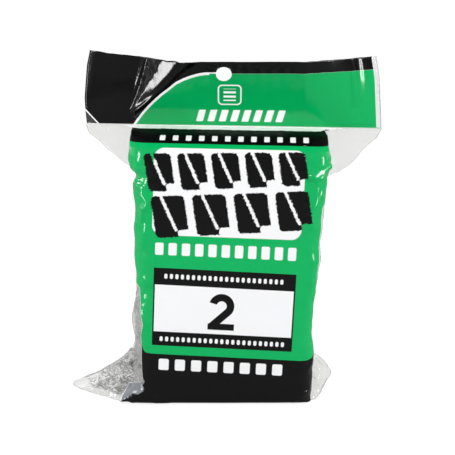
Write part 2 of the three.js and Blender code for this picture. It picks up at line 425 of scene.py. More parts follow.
@dataclass(frozen=True)
class Header:
    """The header above the weld, in millimetres: two layers that lean forward, with a buckle at the left.

    Args:
        height: Of the film above the weld.
        shift: How far the header's middle is to the right of the stack's.
        lean: Lean of the middle, in degrees.
        tilt: Fall of the weld per millimetre to the right.
        hole: Film coordinates of the hang hole.
        hole_radius: Its radius.
        layer_gap: Half the distance between the two layers.
        drawn_left: Height and how far the left edge is drawn in there.
        drawn_right: The same for the right edge.
        drawn_from: Where the drawing in starts on the left, and where it is full.
        drawn_to: The same on the right.
        left_share: Share of the lean from the left end to where the fold starts.
        right_share: Share of the lean along the right part.
        slack_share: Least share of the lean that the film beside the fold's foot takes on.
        slack_end: Where that share is full.
        bend: How much the lean grows towards the top edge along the header.
        stretch: Share of its full height that the film keeps along the header.
        corner: Width, height and depth of the lower left corner that turns back.
        fold_foot: Film coordinates of the fold's point.
        fold_top: The fold's two ends on the top edge.
        fold_width: Width of the fold at its point.
        fold_spread: How much it widens from there down to the weld.
        fold_profile: Place across the fold, from 0 to 1, and how far it stands back at the top edge.
        fold_flank: Growth from the fold's point, from 0 to 1, and how far its right part stands back besides.
        flank_rise: Where across the fold the right part starts, and the width over which it reaches its full.
        flank_fall: Where across the fold it starts to fall off again, and where it has ended.
        creases: Small creases above the weld.
    """

    height: float = 38.3
    shift: float = 2.5
    lean: float = 30.0
    tilt: float = 0.0155
    hole: Pair = (-4.4, 31.3)
    hole_radius: float = 4.0
    layer_gap: float = 0.15
    drawn_left: Knots = ((0.0, 0.0), (14.0, -0.3), (26.0, 1.0), (31.0, 1.6), (37.5, 3.2))
    drawn_right: Knots = ((0.0, 0.0), (15.0, 1.4), (27.0, 2.5), (37.5, 4.6))
    drawn_from: Pair = (-40.0, -72.0)
    drawn_to: Pair = (30.0, 68.0)
    left_share: Knots = ((-79.5, 0.0), (-74.5, 0.1), (-61.5, 0.2), (-46.5, 0.25))
    right_share: Knots = ((30.0, 1.0), (38.0, 0.95), (56.0, 0.55), (66.0, 0.36), (79.5, 0.2))
    slack_share: float = 0.35
    slack_end: float = -56.0
    bend: Knots = ((-79.5, -0.4), (-46.0, -0.35), (-28.0, -0.25), (-20.0, 0.1), (-12.0, 0.38), (30.0, 0.38),
                   (60.0, -0.4), (79.5, -0.4))
    stretch: Knots = ((-79.5, 1.013), (-74.0, 1.0), (-66.0, 0.974), (-58.0, 0.962), (-50.0, 0.948),
                      (-45.0, 0.937), (-40.0, 0.939), (-34.0, 0.951), (-28.0, 0.994), (-22.0, 1.002),
                      (-15.0, 1.015), (0.0, 1.022), (30.0, 1.036), (38.0, 1.023), (46.0, 0.996),
                      (55.0, 0.975), (64.0, 0.969), (72.0, 0.983), (79.5, 0.996))
    corner: tuple[float, float, float] = (7.0, 9.5, 3.0)
    fold_foot: Pair = (-54.2, 9.0)
    fold_top: Pair = (-45.3, -26.3)
    fold_width: float = 1.8
    fold_spread: float = 5.0
    fold_profile: Knots = ((-0.3, 0.0), (-0.13, 0.1), (0.0, -1.4), (0.08, -0.5), (0.5, -2.5), (0.97, -0.9),
                           (1.06, 0.1), (1.19, -1.3), (1.5, 0.0))
    fold_flank: Knots = ((0.0, 0.0), (0.08, 1.4), (0.2, 1.8), (0.34, 1.6), (0.5, 1.0), (0.65, 0.5),
                         (0.8, 0.0), (1.0, -0.35))
    flank_rise: Pair = (0.5, 0.47)
    flank_fall: Pair = (0.9, 1.5)
    creases: tuple[Crease, ...] = (
        Crease((65.0, 44.0), (66.0, 12.0), 1.5, 1.0),
        Crease((69.0, 42.0), (68.6, 16.0), 1.4, 1.0),
        Crease((35.5, 39.5), (40.0, 6.0), 0.5, 2.0),
        Crease((56.0, 2.0), (70.0, 4.0), 0.3, 0.8),
    )

    def fold(self, across: Array, up: Array) -> tuple[Array, Array]:
        """Where film lies in the fold, which opens upwards from its point between two straight ridges.

        Args:
            across: Film place along the weld, from the header's middle.
            up: Film height above the weld.

        Returns:
            Place across the fold, 0 at its left ridge and 1 at its right, and growth from its point up.
        """
        foot_across, foot_up = self.fold_foot
        rise = np.clip((up - foot_up) / (self.height - foot_up), 0.0, 1.0)
        left = foot_across + (self.fold_top[0] - foot_across) * rise
        width = self.fold_width + (self.fold_top[1] - self.fold_top[0] - self.fold_width) * rise
        width = width + self.fold_spread * np.clip((foot_up - up) / foot_up, 0.0, 1.0)
        return (across - left) / width, rise

    def middle(self, across: Array, up: Array) -> Array:
        """Places of the mid surface, whose lean changes along the weld and steps down across the fold.

        Args:
            across: Film place along the weld, from the header's middle.
            up: Film height above the weld.

        Returns:
            Places as an array with a last axis of three.
        """
        place, rise = self.fold(across, up)
        share = straight(across, self.left_share)
        slack = (1.0 - rise) * smooth(across, -FILM_HALF_WIDTH, self.slack_end)
        share = share + (1.0 - share) * np.maximum(np.clip(place, 0.0, 1.0), self.slack_share * slack)
        angle = np.radians(self.lean) * np.minimum(share, straight(across, self.right_share))
        bend = straight(across, self.bend)
        forward = up * np.sin(angle) * (1.0 - bend + bend * up / self.height)
        x = across + self.shift + straight(up, self.drawn_left) * smooth(across, *self.drawn_from)
        x = x - straight(up, self.drawn_right) * smooth(across, *self.drawn_to)
        width, height, depth = self.corner
        corner = np.clip((width - (across + FILM_HALF_WIDTH)) / width - up / height, 0.0, 1.0)
        start, reach = self.flank_rise
        flank = np.clip((place - start) / reach, 0.0, 1.0) - smooth(place, *self.flank_fall)
        back = straight(place, self.fold_profile) * rise + straight(rise, self.fold_flank) * flank
        y = -forward + back + depth * corner
        z = WELD_HEIGHT + up * through(across, self.stretch) * np.cos(angle) - self.tilt * x
        return np.stack([x, y, z], axis=-1)


class FilmBag:
    """The film bag as one closed surface: rows from the bottom seam, round the stack, to the top edge."""

    FOOT_ROWS = 14
    ROUND_ROWS = 7
    WALL_ROWS = 158
    HEADER_ROWS = 52
    EDGE_COLUMNS = 24
    WRAP_COLUMNS = 136
    FLOOR_GAP = 0.12
    LEAST_DEPTH = 0.2
    LAYER = 0.1  # the two layers keep this far from the middle plane

    # Film length from the middle, or film height, over which each part fades in.
    SIDE = (38.0, 56.0)
    EAR_START = (46.0, 58.0)
    EAR_TOP = (34.0, 14.0)
    ROOF = (137.0, 150.0)
    CORNER_IN, CORNER_OUT = (37.0, 42.0), (62.0, 56.0)
    UPPER_FOOT, UPPER_TOP = (88.0, 98.0), (134.0, 126.0)
    LOWER_FOOT, LOWER_TOP = (30.0, 40.0), (92.0, 84.0)
    DIPS_FOOT, DIPS_TOP = (5.0, 20.0), (139.0, 128.0)
    CALM = (-3.0, 2.0)
    WELD_HELD = (WELD_UP, WELD_UP - 4.0)
    HEADER_CALM = (0.0, 3.0)

    CROWDING = 0.25  # how much finer than the mean the columns are at the corners
    TILT_FROM = 96.0  # the weld's tilt fades in from this height
    SEEDS = {Face.FRONT: 3, Face.BACK: 30}
    HEADER_SEED = 60
    DIP, LEAST_DIP = 0.25, 0.1  # how deep the film dips between pads, and the front's share of that
    WRINKLED_FROM = EAVES_HEIGHT - 4.0  # the wrinkled film runs from here to the weld
    FOLD_MIDDLE, FOLD_REACH = 0.3, (0.26, 0.06)  # where across the header's fold its facets are deep

    # How the print lies on the film: its slope in degrees up the front, its shift, and its inner margin.
    PRINT_SLOPE = ((40.0, 3.0), (70.0, 3.1), (92.0, 2.2), (125.0, 0.7), (139.5, 0.4))
    PRINT_SHIFT = (-2.9, 0.0456, 35.0)
    MARGIN, MARGIN_GROWTH, MARGIN_RANGE = 37.6, 7.6, (64.0, 78.0)

    creases: tuple[Crease, ...] = (
        Crease((51.5, 124.5), (42.0, 118.5), 1.2, 1.1),
        Crease((49.5, 116.5), (43.0, 102.0), 1.0, 1.0, 0.8),
        Crease((42.0, 119.0), (39.5, 113.0), 0.7, 0.9, 1.5),
        Crease((43.5, 94.0), (42.0, 104.0), 1.1, 1.3),
        Crease((-46.0, 104.0), (-38.5, 109.5), 1.4, 1.4),
        Crease((-45.5, 98.0), (-41.5, 107.0), 1.1, 1.3),
        Crease((-46.0, 84.0), (-42.0, 99.0), 0.8, 1.6, 0.8),
        Crease((-50.5, 115.5), (-42.0, 115.0), 0.9, 1.0, -1.2),
        Crease((-46.5, 113.0), (-39.5, 107.5), 0.9, 0.9, -0.8),
        Crease((-48.0, 119.0), (-36.0, 113.5), -0.6, 1.6),
        Crease((-47.0, 70.0), (-38.0, 64.0), 0.45, 0.9, -0.8),
        Crease((-45.0, 66.0), (-39.5, 62.5), -0.35, 0.7),
        Crease((46.5, 72.0), (41.5, 66.0), 0.4, 0.6),
        Crease((46.0, 79.0), (44.0, 60.0), 0.35, 0.8),
        Crease((-46.5, 52.0), (-41.0, 44.0), 0.35, 0.9),
        Crease((47.5, 24.5), (42.5, 17.0), 0.8, 0.5),
        Crease((-52.0, 2.5), (-30.0, 1.5), 0.8, 2.4),
        Crease((-40.0, 1.0), (40.0, 1.5), 0.5, 1.6),
        Crease((-48.0, 33.0), (-46.5, 11.0), 0.8, 0.7, 0.6),
        Crease((-47.0, 12.0), (-36.0, 2.0), 0.7, 1.2, 1.0),
        Crease((46.5, 9.0), (33.0, 1.5), 0.6, 1.0, -1.0),
    )

    pleats: tuple[Pleat, ...] = (
        Pleat((53.6, 127.6), (42.6, 122.4), 0.8, 1.5),
        Pleat((50.6, 120.4), (44.6, 107.4), 0.35, 1.3),
        Pleat((-48.6, 119.6), (-44.6, 120.0), 0.3, 1.3),
        Pleat((-48.0, 117.2), (-43.6, 113.6), 0.3, 1.3),
    )
    PLEAT_FACING = (0.495, -0.862, 0.1)  # a right-hand pleat's normal
    PLEAT_REACH = 57.0  # film length from the middle within which a pleat's row is touched
    PLEAT_LIFT = (-1.0, 1.5)
    LEAST_FACING = 0.3  # keeps film that runs edge on to a pleat's plane from being drawn far

    def __init__(self, header: Header) -> None:
        """Works out the bag's grid.

        Args:
            header: The header above the weld.
        """
        self.header = header
        self.across, self.up, self.kept = self._header_film()
        self.front, self.front_print = self._half(Face.FRONT)
        self.back, self.back_print = self._half(Face.BACK)
        self.back[:, [0, -1]] = self.front[:, [0, -1]]

    def _columns(self) -> tuple[Array, Array]:
        """Places of the columns, which are finer towards the corners, where the film creases.

        Returns:
            Each column's share of the wrap, from -1 to 1, and of the edge beyond it, from 0 to 1.
        """
        edge = np.linspace(0.0, 1.0, self.EDGE_COLUMNS + 1)[1:]
        wrap = np.linspace(-1.0, 1.0, self.WRAP_COLUMNS + 1)
        wrap = wrap * (1.0 + self.CROWDING - self.CROWDING * np.abs(wrap))
        wrap_share = np.concatenate([-np.ones_like(edge), wrap, np.ones_like(edge)])
        edge_share = np.concatenate([edge[::-1], np.zeros_like(wrap), edge])
        return wrap_share, edge_share

    def _header_film(self) -> tuple[Array, Array, Array]:
        """Film coordinates of the header's rows, with the hang hole's rim drawn onto its circle.

        Returns:
            Place across and up of each vertex, and a mask of the cells that the hole leaves.
        """
        across = self._body(Face.FRONT)[0][-1, :, 0] - self.header.shift
        across = across * (FILM_HALF_WIDTH / np.abs(across[[0, -1]]).max())
        rows = np.linspace(0.0, self.header.height, self.HEADER_ROWS + 1)
        across, up = np.meshgrid(across, rows)
        hole = self.header.hole
        distance = np.hypot(across - hole[0], up - hole[1])
        inside = distance < self.header.hole_radius
        cut = np.logical_or.reduce(cell_corners(inside))
        near = np.logical_or.reduce(cell_corners(np.pad(cut, 1)))
        pull = np.where(near & ~inside, self.header.hole_radius / np.maximum(distance, TINY), 1.0)
        return hole[0] + (across - hole[0]) * pull, hole[1] + (up - hole[1]) * pull, ~cut

    @staticmethod
    def _depth(z: Array) -> Array:
        """Half depth of the stack at a height: a round foot, a plumb front, round eaves and a straight roof.

        Args:
            z: Height of each row.

        Returns:
            The half depth of each row.
        """
        lift = np.clip(FOOT_ROUND - z, 0.0, FOOT_ROUND)
        foot = FOOT_ROUND - np.sqrt(FOOT_ROUND**2 - lift**2)
        eaves = EAVES_DROP * np.clip((z - EAVES_HEIGHT + EAVES_ROUND) / EAVES_ROUND, 0.0, 1.0) ** 2
        roof = STACK_DEPTH - EAVES_DROP - np.interp(z, ROOF_HEIGHT, ROOF_DEPTH)
        return STACK_DEPTH - foot - eaves - roof

    @staticmethod
    def _wrap(s: Array, side: Array, radius: Array) -> tuple[Array, Array]:
        """A point at a length from the face's middle: straight, a quarter circle, then the side wall.

        Args:
            s: Length along the film, 0 or more.
            side: Distance of the side wall from the middle.
            radius: Corner radius.

        Returns:
            Distance from the middle across, and distance inwards from the face.
        """
        flat = side - radius
        arc = radius * math.pi / 2.0
        turn = np.clip((s - flat) / np.maximum(radius, TINY), 0.0, math.pi / 2.0)
        x = np.minimum(s, flat) + radius * np.sin(turn)
        inwards = radius * (1.0 - np.cos(turn)) + np.clip(s - flat - arc, 0.0, None)
        return x, inwards

    def _heights(self) -> tuple[Array, Array, Array]:
        """Heights of the body's rows: under the foot, round its edge, up the wall and over the roof.

        Returns:
            Height of each row, how far under the foot it has gone (0 to 1), and its place on the print.
        """
        under = np.linspace(1.0, 0.0, self.FOOT_ROWS + 1)[:-1]
        foot = FOOT_ROUND * (1.0 - np.cos(np.linspace(0.0, math.pi / 2.0, self.ROUND_ROWS)))
        wall = np.linspace(FOOT_ROUND, EAVES_HEIGHT, self.WALL_ROWS + 1)[1:]
        z = np.concatenate([np.zeros_like(under), foot, wall, ROOF_HEIGHT[1:]])
        gone = np.concatenate([under, np.zeros(len(z) - len(under))])
        below = -(STACK_DEPTH - FOOT_ROUND) * under
        return z, gone, np.concatenate([below, foot, wall, ROOF_UP[1:]])

    def _body(self, face: Face) -> tuple[Array, Array]:
        """The rows from the bottom seam to the weld: a wrap round each corner, then a straight fin or ear.

        Args:
            face: Which half.

        Returns:
            Places (rows, columns, 3), and film coordinates (rows, columns, 2).
        """
        z, gone, up = self._heights()
        wrap_share, edge_share = self._columns()
        depth = np.maximum(self._depth(z) * (1.0 - gone), self.LEAST_DEPTH)
        x = np.zeros((len(z), len(wrap_share)))
        y, s = x.copy(), x.copy()
        for sign, side in ((-1.0, LEFT), (1.0, RIGHT)):
            columns = np.sign(wrap_share) == sign
            share = np.abs(wrap_share[columns])
            out = edge_share[columns]
            wall = through(z, side.wall)
            ear = straight(z, side.ear)
            neck = side.neck(z, gone, depth)
            radius = np.minimum(side.radius, depth - neck)
            length = wall - radius + radius * math.pi / 2.0 + (depth - radius - neck)
            wrap_x, inwards = self._wrap(length[:, None] * share, wall[:, None], radius[:, None])
            reach = np.maximum(straight(z, side.fin), ear)[:, None]
            x[:, columns] = sign * (wrap_x + reach * out)
            neck_y = face.value * (depth[:, None] - inwards)
            thin = face.value * self.LAYER + straight(z, side.tip_y)[:, None]
            bow = straight(z, side.ear_bow) * np.clip(ear / side.EAR_FULL, 0.0, 1.0) * (1.0 - gone)
            bulge = (face.value * bow)[:, None] * np.sin(math.pi * out)
            y[:, columns] = neck_y * (1.0 - out) + thin * out + bulge
            s[:, columns] = sign * (length[:, None] * share + np.hypot(reach, neck_y - thin) * out)
        middle = wrap_share == 0.0
        y[:, middle] = face.value * depth[:, None]
        tilt = self.header.tilt * x * smooth(z, self.TILT_FROM, WELD_HEIGHT)[:, None]
        places = np.stack([x, y, z[:, None] + self.FLOOR_GAP * (gone[:, None] > 0) - tilt], axis=-1)
        return places, np.stack([s, np.broadcast_to(up[:, None], s.shape)], axis=-1)

    def _print_shift(self, q: Array | float) -> Array | float:
        """How far the print's middle lies from the film's, which grows straight with the film height."""
        start, growth, level = self.PRINT_SHIFT
        return start + growth * (q - level)

    def _half(self, face: Face) -> tuple[Array, Array]:
        """One half's rows, body and header, creased.

        Args:
            face: Which half.

        Returns:
            Places, and print coordinates.
        """
        body, film = self._body(face)
        s, q = film[..., 0], film[..., 1]
        across, up = self.across[1:], self.up[1:]
        header = self._header_creased(self.header.middle(across, up), across, up, face)
        slope = np.tan(np.radians(through(q, self.PRINT_SLOPE)))
        body_p = self._stretched(s - self._print_shift(q), q)
        body_q = q + slope * s * (q > -1.0)
        header_p = across + self.header.shift - self._print_shift(WELD_UP)
        places = np.concatenate([self._creased(body, film, face), header])
        prints = ((body_p, body_q), (header_p, WELD_UP + up))
        printed = np.concatenate([np.stack(pair, axis=-1) for pair in prints])
        if face is Face.BACK:
            printed[..., 0] += BACK_OFFSET
        return places, printed

    def _stretched(self, p: Array, q: Array) -> Array:
        """Draws the print's margins in or out, so that its side edges run where the slack film puts them.

        Args:
            p: Place across the print.
            q: Film height.

        Returns:
            The new place across, with each side's edge at the ink's half width.
        """
        inner = self.MARGIN + self.MARGIN_GROWTH * smooth(q, *self.MARGIN_RANGE)
        for side in (LEFT, RIGHT):
            edge = np.abs(straight(q, side.print_edge))
            margin = inner + (np.abs(p) - inner) * (INK_HALF_WIDTH - inner) / (edge - inner)
            here = (np.sign(p) == np.sign(side.print_edge[0][1])) & (np.abs(p) > inner)
            p = np.where(here, np.sign(p) * margin, p)
        return p

    def _creased(self, places: Array, film: Array, face: Face) -> Array:
        """Moves the body's film along its normals: set creases, soft facets, and dips between the pads.

        Args:
            places: Smooth places.
            film: Film coordinates.
            face: Which half.

        Returns:
            The creased places.
        """
        s, q = film[..., 0], film[..., 1]
        outwards = -face.value
        normal = unit(np.cross(np.gradient(places, axis=1), np.gradient(places, axis=0)) * outwards)
        side = smooth(np.abs(s), *self.SIDE)
        ears = smooth(q, *self.EAR_TOP) * smooth(np.abs(s), *self.EAR_START)
        roof = smooth(q, *self.ROOF)
        corner = smooth(np.abs(s), *self.CORNER_IN) * smooth(np.abs(s), *self.CORNER_OUT)
        upper = corner * smooth(q, *self.UPPER_FOOT) * smooth(q, *self.UPPER_TOP)
        lower = corner * smooth(q, *self.LOWER_FOOT) * smooth(q, *self.LOWER_TOP)
        free = 1.0 - self._columns()[1] ** 4  # the ears' edges keep their outline
        facets = (
            (26.0, 1.0, 0.10),
            (15.0, 1.0, (0.35 * side + 0.2 * roof) * (1.0 - 0.4 * ears)),
            (9.0, 1.0, 1.2 * ears * free),
            (4.5, 1.0, (0.16 * side + 0.5 * ears) * free),
            (5.0, 0.6, 0.12 * roof),
            (5.5, 1.0, 0.28 * upper),
            (5.0, 0.6, 0.14 * lower),
        )
        lift = faceted(s, q, facets, self.SEEDS[face])
        dips = np.cos(q * 2.0 * math.pi / PAD_PITCH) * smooth(q, *self.DIPS_FOOT) * smooth(q, *self.DIPS_TOP)
        lift -= self.DIP * (side + self.LEAST_DIP) * dips
        if face is Face.FRONT:
            for crease in self.creases:
                lift += crease.lift(s, q)
            lift += self._pleated(places, normal, s, q, lift)
        lift *= smooth(q, *self.CALM) * smooth(q, *self.WELD_HELD)
        moved = places + normal * lift[..., None]
        moved[..., 2] = np.maximum(moved[..., 2], self.FLOOR_GAP)
        parted = np.minimum(moved[..., 1] * outwards, -self.LAYER) * outwards
        moved[..., 1] = np.where(side > 0.5, moved[..., 1], parted)
        return moved

    def _pleated(self, places: Array, normal: Array, s: Array, q: Array,
                 lift: Array) -> Array:
        """Further lift that brings the pleats' film onto the plane that touches their row's corner.

        Args:
            places: Smooth places.
            normal: The film's normals.
            s: Film length from the middle.
            q: Film height.
            lift: The lift so far.

        Returns:
            What is added to it.
        """
        more = np.zeros_like(lift)
        for pleat in self.pleats:
            facing = np.array(self.PLEAT_FACING) * (math.copysign(1.0, pleat.start[0]), 1.0, 1.0)
            level = places @ facing
            near = (np.abs(s) < self.PLEAT_REACH) & (np.sign(s) == np.sign(pleat.start[0]))
            touch = np.where(near, level, -np.inf).max(axis=1, keepdims=True)
            middle = (pleat.start[1] + pleat.end[1]) / 2.0
            touch = touch[np.argmin(np.abs(q[:, 0] - middle))]
            to_plane = (touch - level) / np.maximum(normal @ facing, self.LEAST_FACING)
            more += pleat.share(s, q) * near * (np.clip(to_plane, *self.PLEAT_LIFT) - lift)
        return more

    def _header_creased(self, places: Array, across: Array, up: Array, face: Face) -> Array:
        """Adds the header's small creases and parts its two layers.

        Args:
            places: The header's mid surface.
            across: Film place along the weld.
            up: Film height above the weld.
            face: Which half.

        Returns:
            The half's places.
        """
        place, rise = self.header.fold(across, up)
        in_fold = rise * smooth(np.abs(place - self.FOLD_MIDDLE), *self.FOLD_REACH)
        facets = (
            (22.0, 0.5, 0.2 * smooth(up, 1.0, 10.0)),
            (6.0, 1.0, 0.03),
            (5.5, 1.0, 1.5 * in_fold),
        )
        lift = faceted(across, up, facets, self.HEADER_SEED)
        for crease in self.header.creases:
            lift += crease.lift(across, up)
        places = places.copy()
        places[..., 1] += face.value * self.header.layer_gap - lift * smooth(up, *self.HEADER_CALM)
        return places

    def build(self) -> Piece:
        """Makes the closed mesh, with the hang hole cut out and the print's coordinates as its UVs.

        Returns:
            The film's object, whose second material is for the roof.
        """
        rows, columns = self.front.shape[:2]
        front_id = np.arange(rows * columns).reshape(rows, columns)
        back_id = front_id + rows * columns
        back_id[:, [0, -1]] = front_id[:, [0, -1]]
        kept = np.concatenate([np.ones((rows - self.HEADER_ROWS - 1, columns - 1), bool), self.kept])
        quads, uvs = [], []
        for ids, printed, turn in ((front_id, self.front_print, 1), (back_id, self.back_print, -1)):
            quads.append(np.stack(cell_corners(ids)[::turn], axis=-1)[kept])
            uvs.append(np.stack(cell_corners(printed)[::turn], axis=-2)[kept])
        for row, turn in ((0, 1), (rows - 1, -1)):
            f, b, uv = front_id[row], back_id[row], self.front_print[row]
            quads.append(np.stack([f[1:], f[:-1], b[:-1], b[1:]][::turn], axis=-1))
            uvs.append(np.stack([uv[1:], uv[:-1], uv[:-1], uv[1:]][::turn], axis=-2))
        rim = self._rim(kept, front_id, back_id)
        quads.append(rim)
        uvs.append(np.concatenate([self.front_print.reshape(-1, 2), self.back_print.reshape(-1, 2)])[rim])
        points = np.concatenate([self.front.reshape(-1, 3), self.back.reshape(-1, 3)])
        faces = np.concatenate(quads)
        used, renumbered = np.unique(faces, return_inverse=True)
        faces = renumbered.reshape(faces.shape)
        piece = new_mesh("film_bag_skin", points[used], faces)
        own = own_corners(faces)
        corners = np.concatenate(uvs)
        layer = piece.data.uv_layers.new(name="print")
        layer.data.foreach_set("uv", corners[own].astype(np.float32).ravel())
        up = (corners[..., 1] * own).sum(axis=1) / own.sum(axis=1)
        on_roof = (up > self.WRINKLED_FROM) & (up < WELD_UP)
        piece.data.polygons.foreach_set("material_index", on_roof.astype(np.int32))
        return piece

    @staticmethod
    def _rim(kept: Array, front_id: Array, back_id: Array) -> Array:
        """Faces that join the two layers round the hole, one for each side between a cut and a kept cell.

        Args:
            kept: Mask of the cells that are kept.
            front_id: Vertex numbers of the front's grid.
            back_id: The same for the back.

        Returns:
            Vertex indices, four to a face.
        """
        faces = []
        for i, j in np.argwhere(~kept):
            for (di, dj), a, b in (((-1, 0), (i, j), (i, j + 1)), ((1, 0), (i + 1, j + 1), (i + 1, j)),
                                   ((0, -1), (i + 1, j), (i, j)), ((0, 1), (i, j + 1), (i + 1, j + 1))):
                if kept[i + di, j + dj]:
                    faces.append([front_id[b], front_id[a], back_id[a], back_id[b]])
        return np.array(faces)


class Signal:
    """A node's output that stands in formulas as a number does: each operator adds a math node."""

    def __init__(self, bench: Bench, socket: bpy.types.NodeSocket) -> None:
        """Takes the bench that the node lies on, and its output."""
        self.bench, self.socket = bench, socket

    def _math(self, operation: str, *others: Signal | float) -> Signal:
        """A math node's output, of this and of other signals or numbers."""
        return self.bench.math(operation, self, *others)

    def __rsub__(self, other: float) -> Signal:
        """A number less this."""
        return self.bench.math("SUBTRACT", other, self)

    def step(self, low: float, high: float) -> Signal:
        """A linear step, 0 at low and 1 at high."""
        inputs = {"Value": self, "From Min": low, "From Max": high}
        return self.bench.out(0, "ShaderNodeMapRange", inputs, clamp=True)

    __add__ = partialmethod(_math, "ADD")
    __sub__ = partialmethod(_math, "SUBTRACT")
    __mul__ = partialmethod(_math, "MULTIPLY")
    __truediv__ = partialmethod(_math, "DIVIDE")
    __pow__ = partialmethod(_math, "POWER")
    __mod__ = partialmethod(_math, "MODULO")
    __abs__ = partialmethod(_math, "ABSOLUTE")
    __gt__ = partialmethod(_math, "GREATER_THAN")
    __lt__ = partialmethod(_math, "LESS_THAN")
    most = partialmethod(_math, "MAXIMUM")
    least = partialmethod(_math, "MINIMUM")
    root = partialmethod(_math, "SQRT")


class Bench:
    """Adds and joins the nodes of one node tree."""

    def __init__(self, tree: bpy.types.NodeTree) -> None:
        """Takes a material's, a world's or a group's node tree."""
        self.tree = tree

    @classmethod
    def cleared(cls, owner: bpy.types.Material | bpy.types.World) -> Bench:
        """A bench for the empty node tree of a new material or world.

        Args:
            owner: The material or world.

        Returns:
            The bench.
        """
        owner.use_nodes = True
        owner.node_tree.nodes.clear()
        return cls(owner.node_tree)

    def join(self, socket: bpy.types.NodeSocket, value: object) -> None:
        """Links a signal into an input, or sets the input's value.

        Args:
            socket: The input.
            value: A signal, or a plain value.
        """
        if isinstance(value, Signal):
            self.tree.links.new(value.socket, socket)
        else:
            socket.default_value = value

    def node(self, kind: str, inputs: dict | None = None, **settings: object) -> bpy.types.Node:
        """Adds a node.

        Args:
            kind: Blender's name of the node type.
            inputs: Input name or number, with a signal to link or a value to set.
            **settings: Properties of the node.

        Returns:
            The node.
        """
        made = self.tree.nodes.new(kind)
        for name, value in settings.items():
            setattr(made, name, value)
        for name, value in (inputs or {}).items():
            self.join(made.inputs[name], value)
        return made

    def out(self, output: str | int, kind: str, inputs: dict | None = None, **settings: object) -> Signal:
        """Adds a node, as node does, and gives one of its outputs by name or number."""
        return Signal(self, self.node(kind, inputs, **settings).outputs[output])

    def math(self, operation: str, *values: object, clamp: bool = False) -> Signal:
        """A math node's output, of signals or numbers."""
        return self.out(0, "ShaderNodeMath", dict(enumerate(values)), operation=operation, use_clamp=clamp)

    def mix(self, factor: object, a: object, b: object) -> Signal:
        """A colour that is a at factor 0 and b at factor 1."""
        return self.out("Result", "ShaderNodeMix", {"Factor": factor, "A": a, "B": b}, data_type="RGBA")

    def noise(self, place: Signal, scale: float, detail: float, **more: float) -> Signal:
        """A noise texture's value, with its scale, its detail and any of its other inputs."""
        inputs = {"Vector": place, "Scale": scale, "Detail": detail, **more}
        return self.out("Fac", "ShaderNodeTexNoise", inputs)

    def group(self, tree: bpy.types.NodeTree, inputs: dict, output: str) -> Signal:
        """An output of a node group that is placed with its own values."""
        return self.out(output, "ShaderNodeGroup", inputs, node_tree=tree)


def rounded_field_group() -> bpy.types.NodeTree:
    """A shader node group for a rounded rectangle on the print: 1 inside and 0 outside.

    The distance outside a box less its corner radius, q = |p - centre| - half + radius, is
    length(max(q, 0)) + min(max(qx, qy), 0) - radius, and the mask is a narrow step of it.

    Returns:
        The node group.
    """
    tree = bpy.data.node_groups.new("rounded_field", "ShaderNodeTree")
    number = "NodeSocketFloat"
    for name in ("X", "Y", "Centre X", "Centre Y", "Half X", "Half Y", "Radius", "Edge"):
        tree.interface.new_socket(name, in_out="INPUT", socket_type=number)
    tree.interface.new_socket("Mask", in_out="OUTPUT", socket_type=number)
    bench = Bench(tree)
    given = {socket.name: Signal(bench, socket) for socket in bench.node("NodeGroupInput").outputs}
    radius = given["Radius"]
    sides = [abs(given[axis] - given["Centre " + axis]) - (given["Half " + axis] - radius) for axis in "XY"]
    squares = [side.most(0.0) ** 2.0 for side in sides]
    distance = (squares[0] + squares[1]).root() + sides[0].most(sides[1]).least(0.0) - radius
    mask = bench.math("SUBTRACT", 0.5, distance / given["Edge"], clamp=True)
    bench.node("NodeGroupOutput", {"Mask": mask})
    return tree


@dataclass(frozen=True)
class Inks:
    """Colours of the print, as linear light.

    Args:
        green: Of the fields.
        black: Of the bands, the blocks and the numeral.
        white: Of the panel, the grade's box and the marks.
        bright: Of the header's marks and lines, and of the strip under the weld; whiter than the panel's
            white, partly as painted light that makes up for the shade where the header leans.
        corner: Painted reflection: a grey in place of the black on the header's turned-back corner, for the
            sheen of its fold.
        painted_sheen: Painted reflection: the blue-grey sheen of the black film folded at the lower left
            foot.
    """

    green: Colour = (0.001, 0.385, 0.100, 1.0)
    black: Colour = (0.0018, 0.0018, 0.002, 1.0)
    white: Colour = (0.80, 0.80, 0.81, 1.0)
    # whiter than the panel's white: partly painted light against the header's shade
    bright: Colour = (0.95, 0.95, 0.95, 1.0)
    # painted reflection on the header's turned-back corner
    corner: Colour = (0.045, 0.045, 0.045, 1.0)
    # painted reflection of the folded black film at the foot
    painted_sheen: Colour = (0.20, 0.21, 0.23, 1.0)


@dataclass(frozen=True)
class BlockRow:
    """A row of the panel's heavy blocks, in print millimetres.

    Args:
        left: Where the first cell starts.
        right: Where the last cell ends.
        low: Bottom of the blocks.
        high: Top of the blocks.
        count: Number of blocks.
        tilt: Rise of the row per millimetre to the right.
        squeeze: How much lower the blocks get per millimetre to the right.
    """

    left: float
    right: float
    low: float
    high: float
    count: int
    tilt: float
    squeeze: float


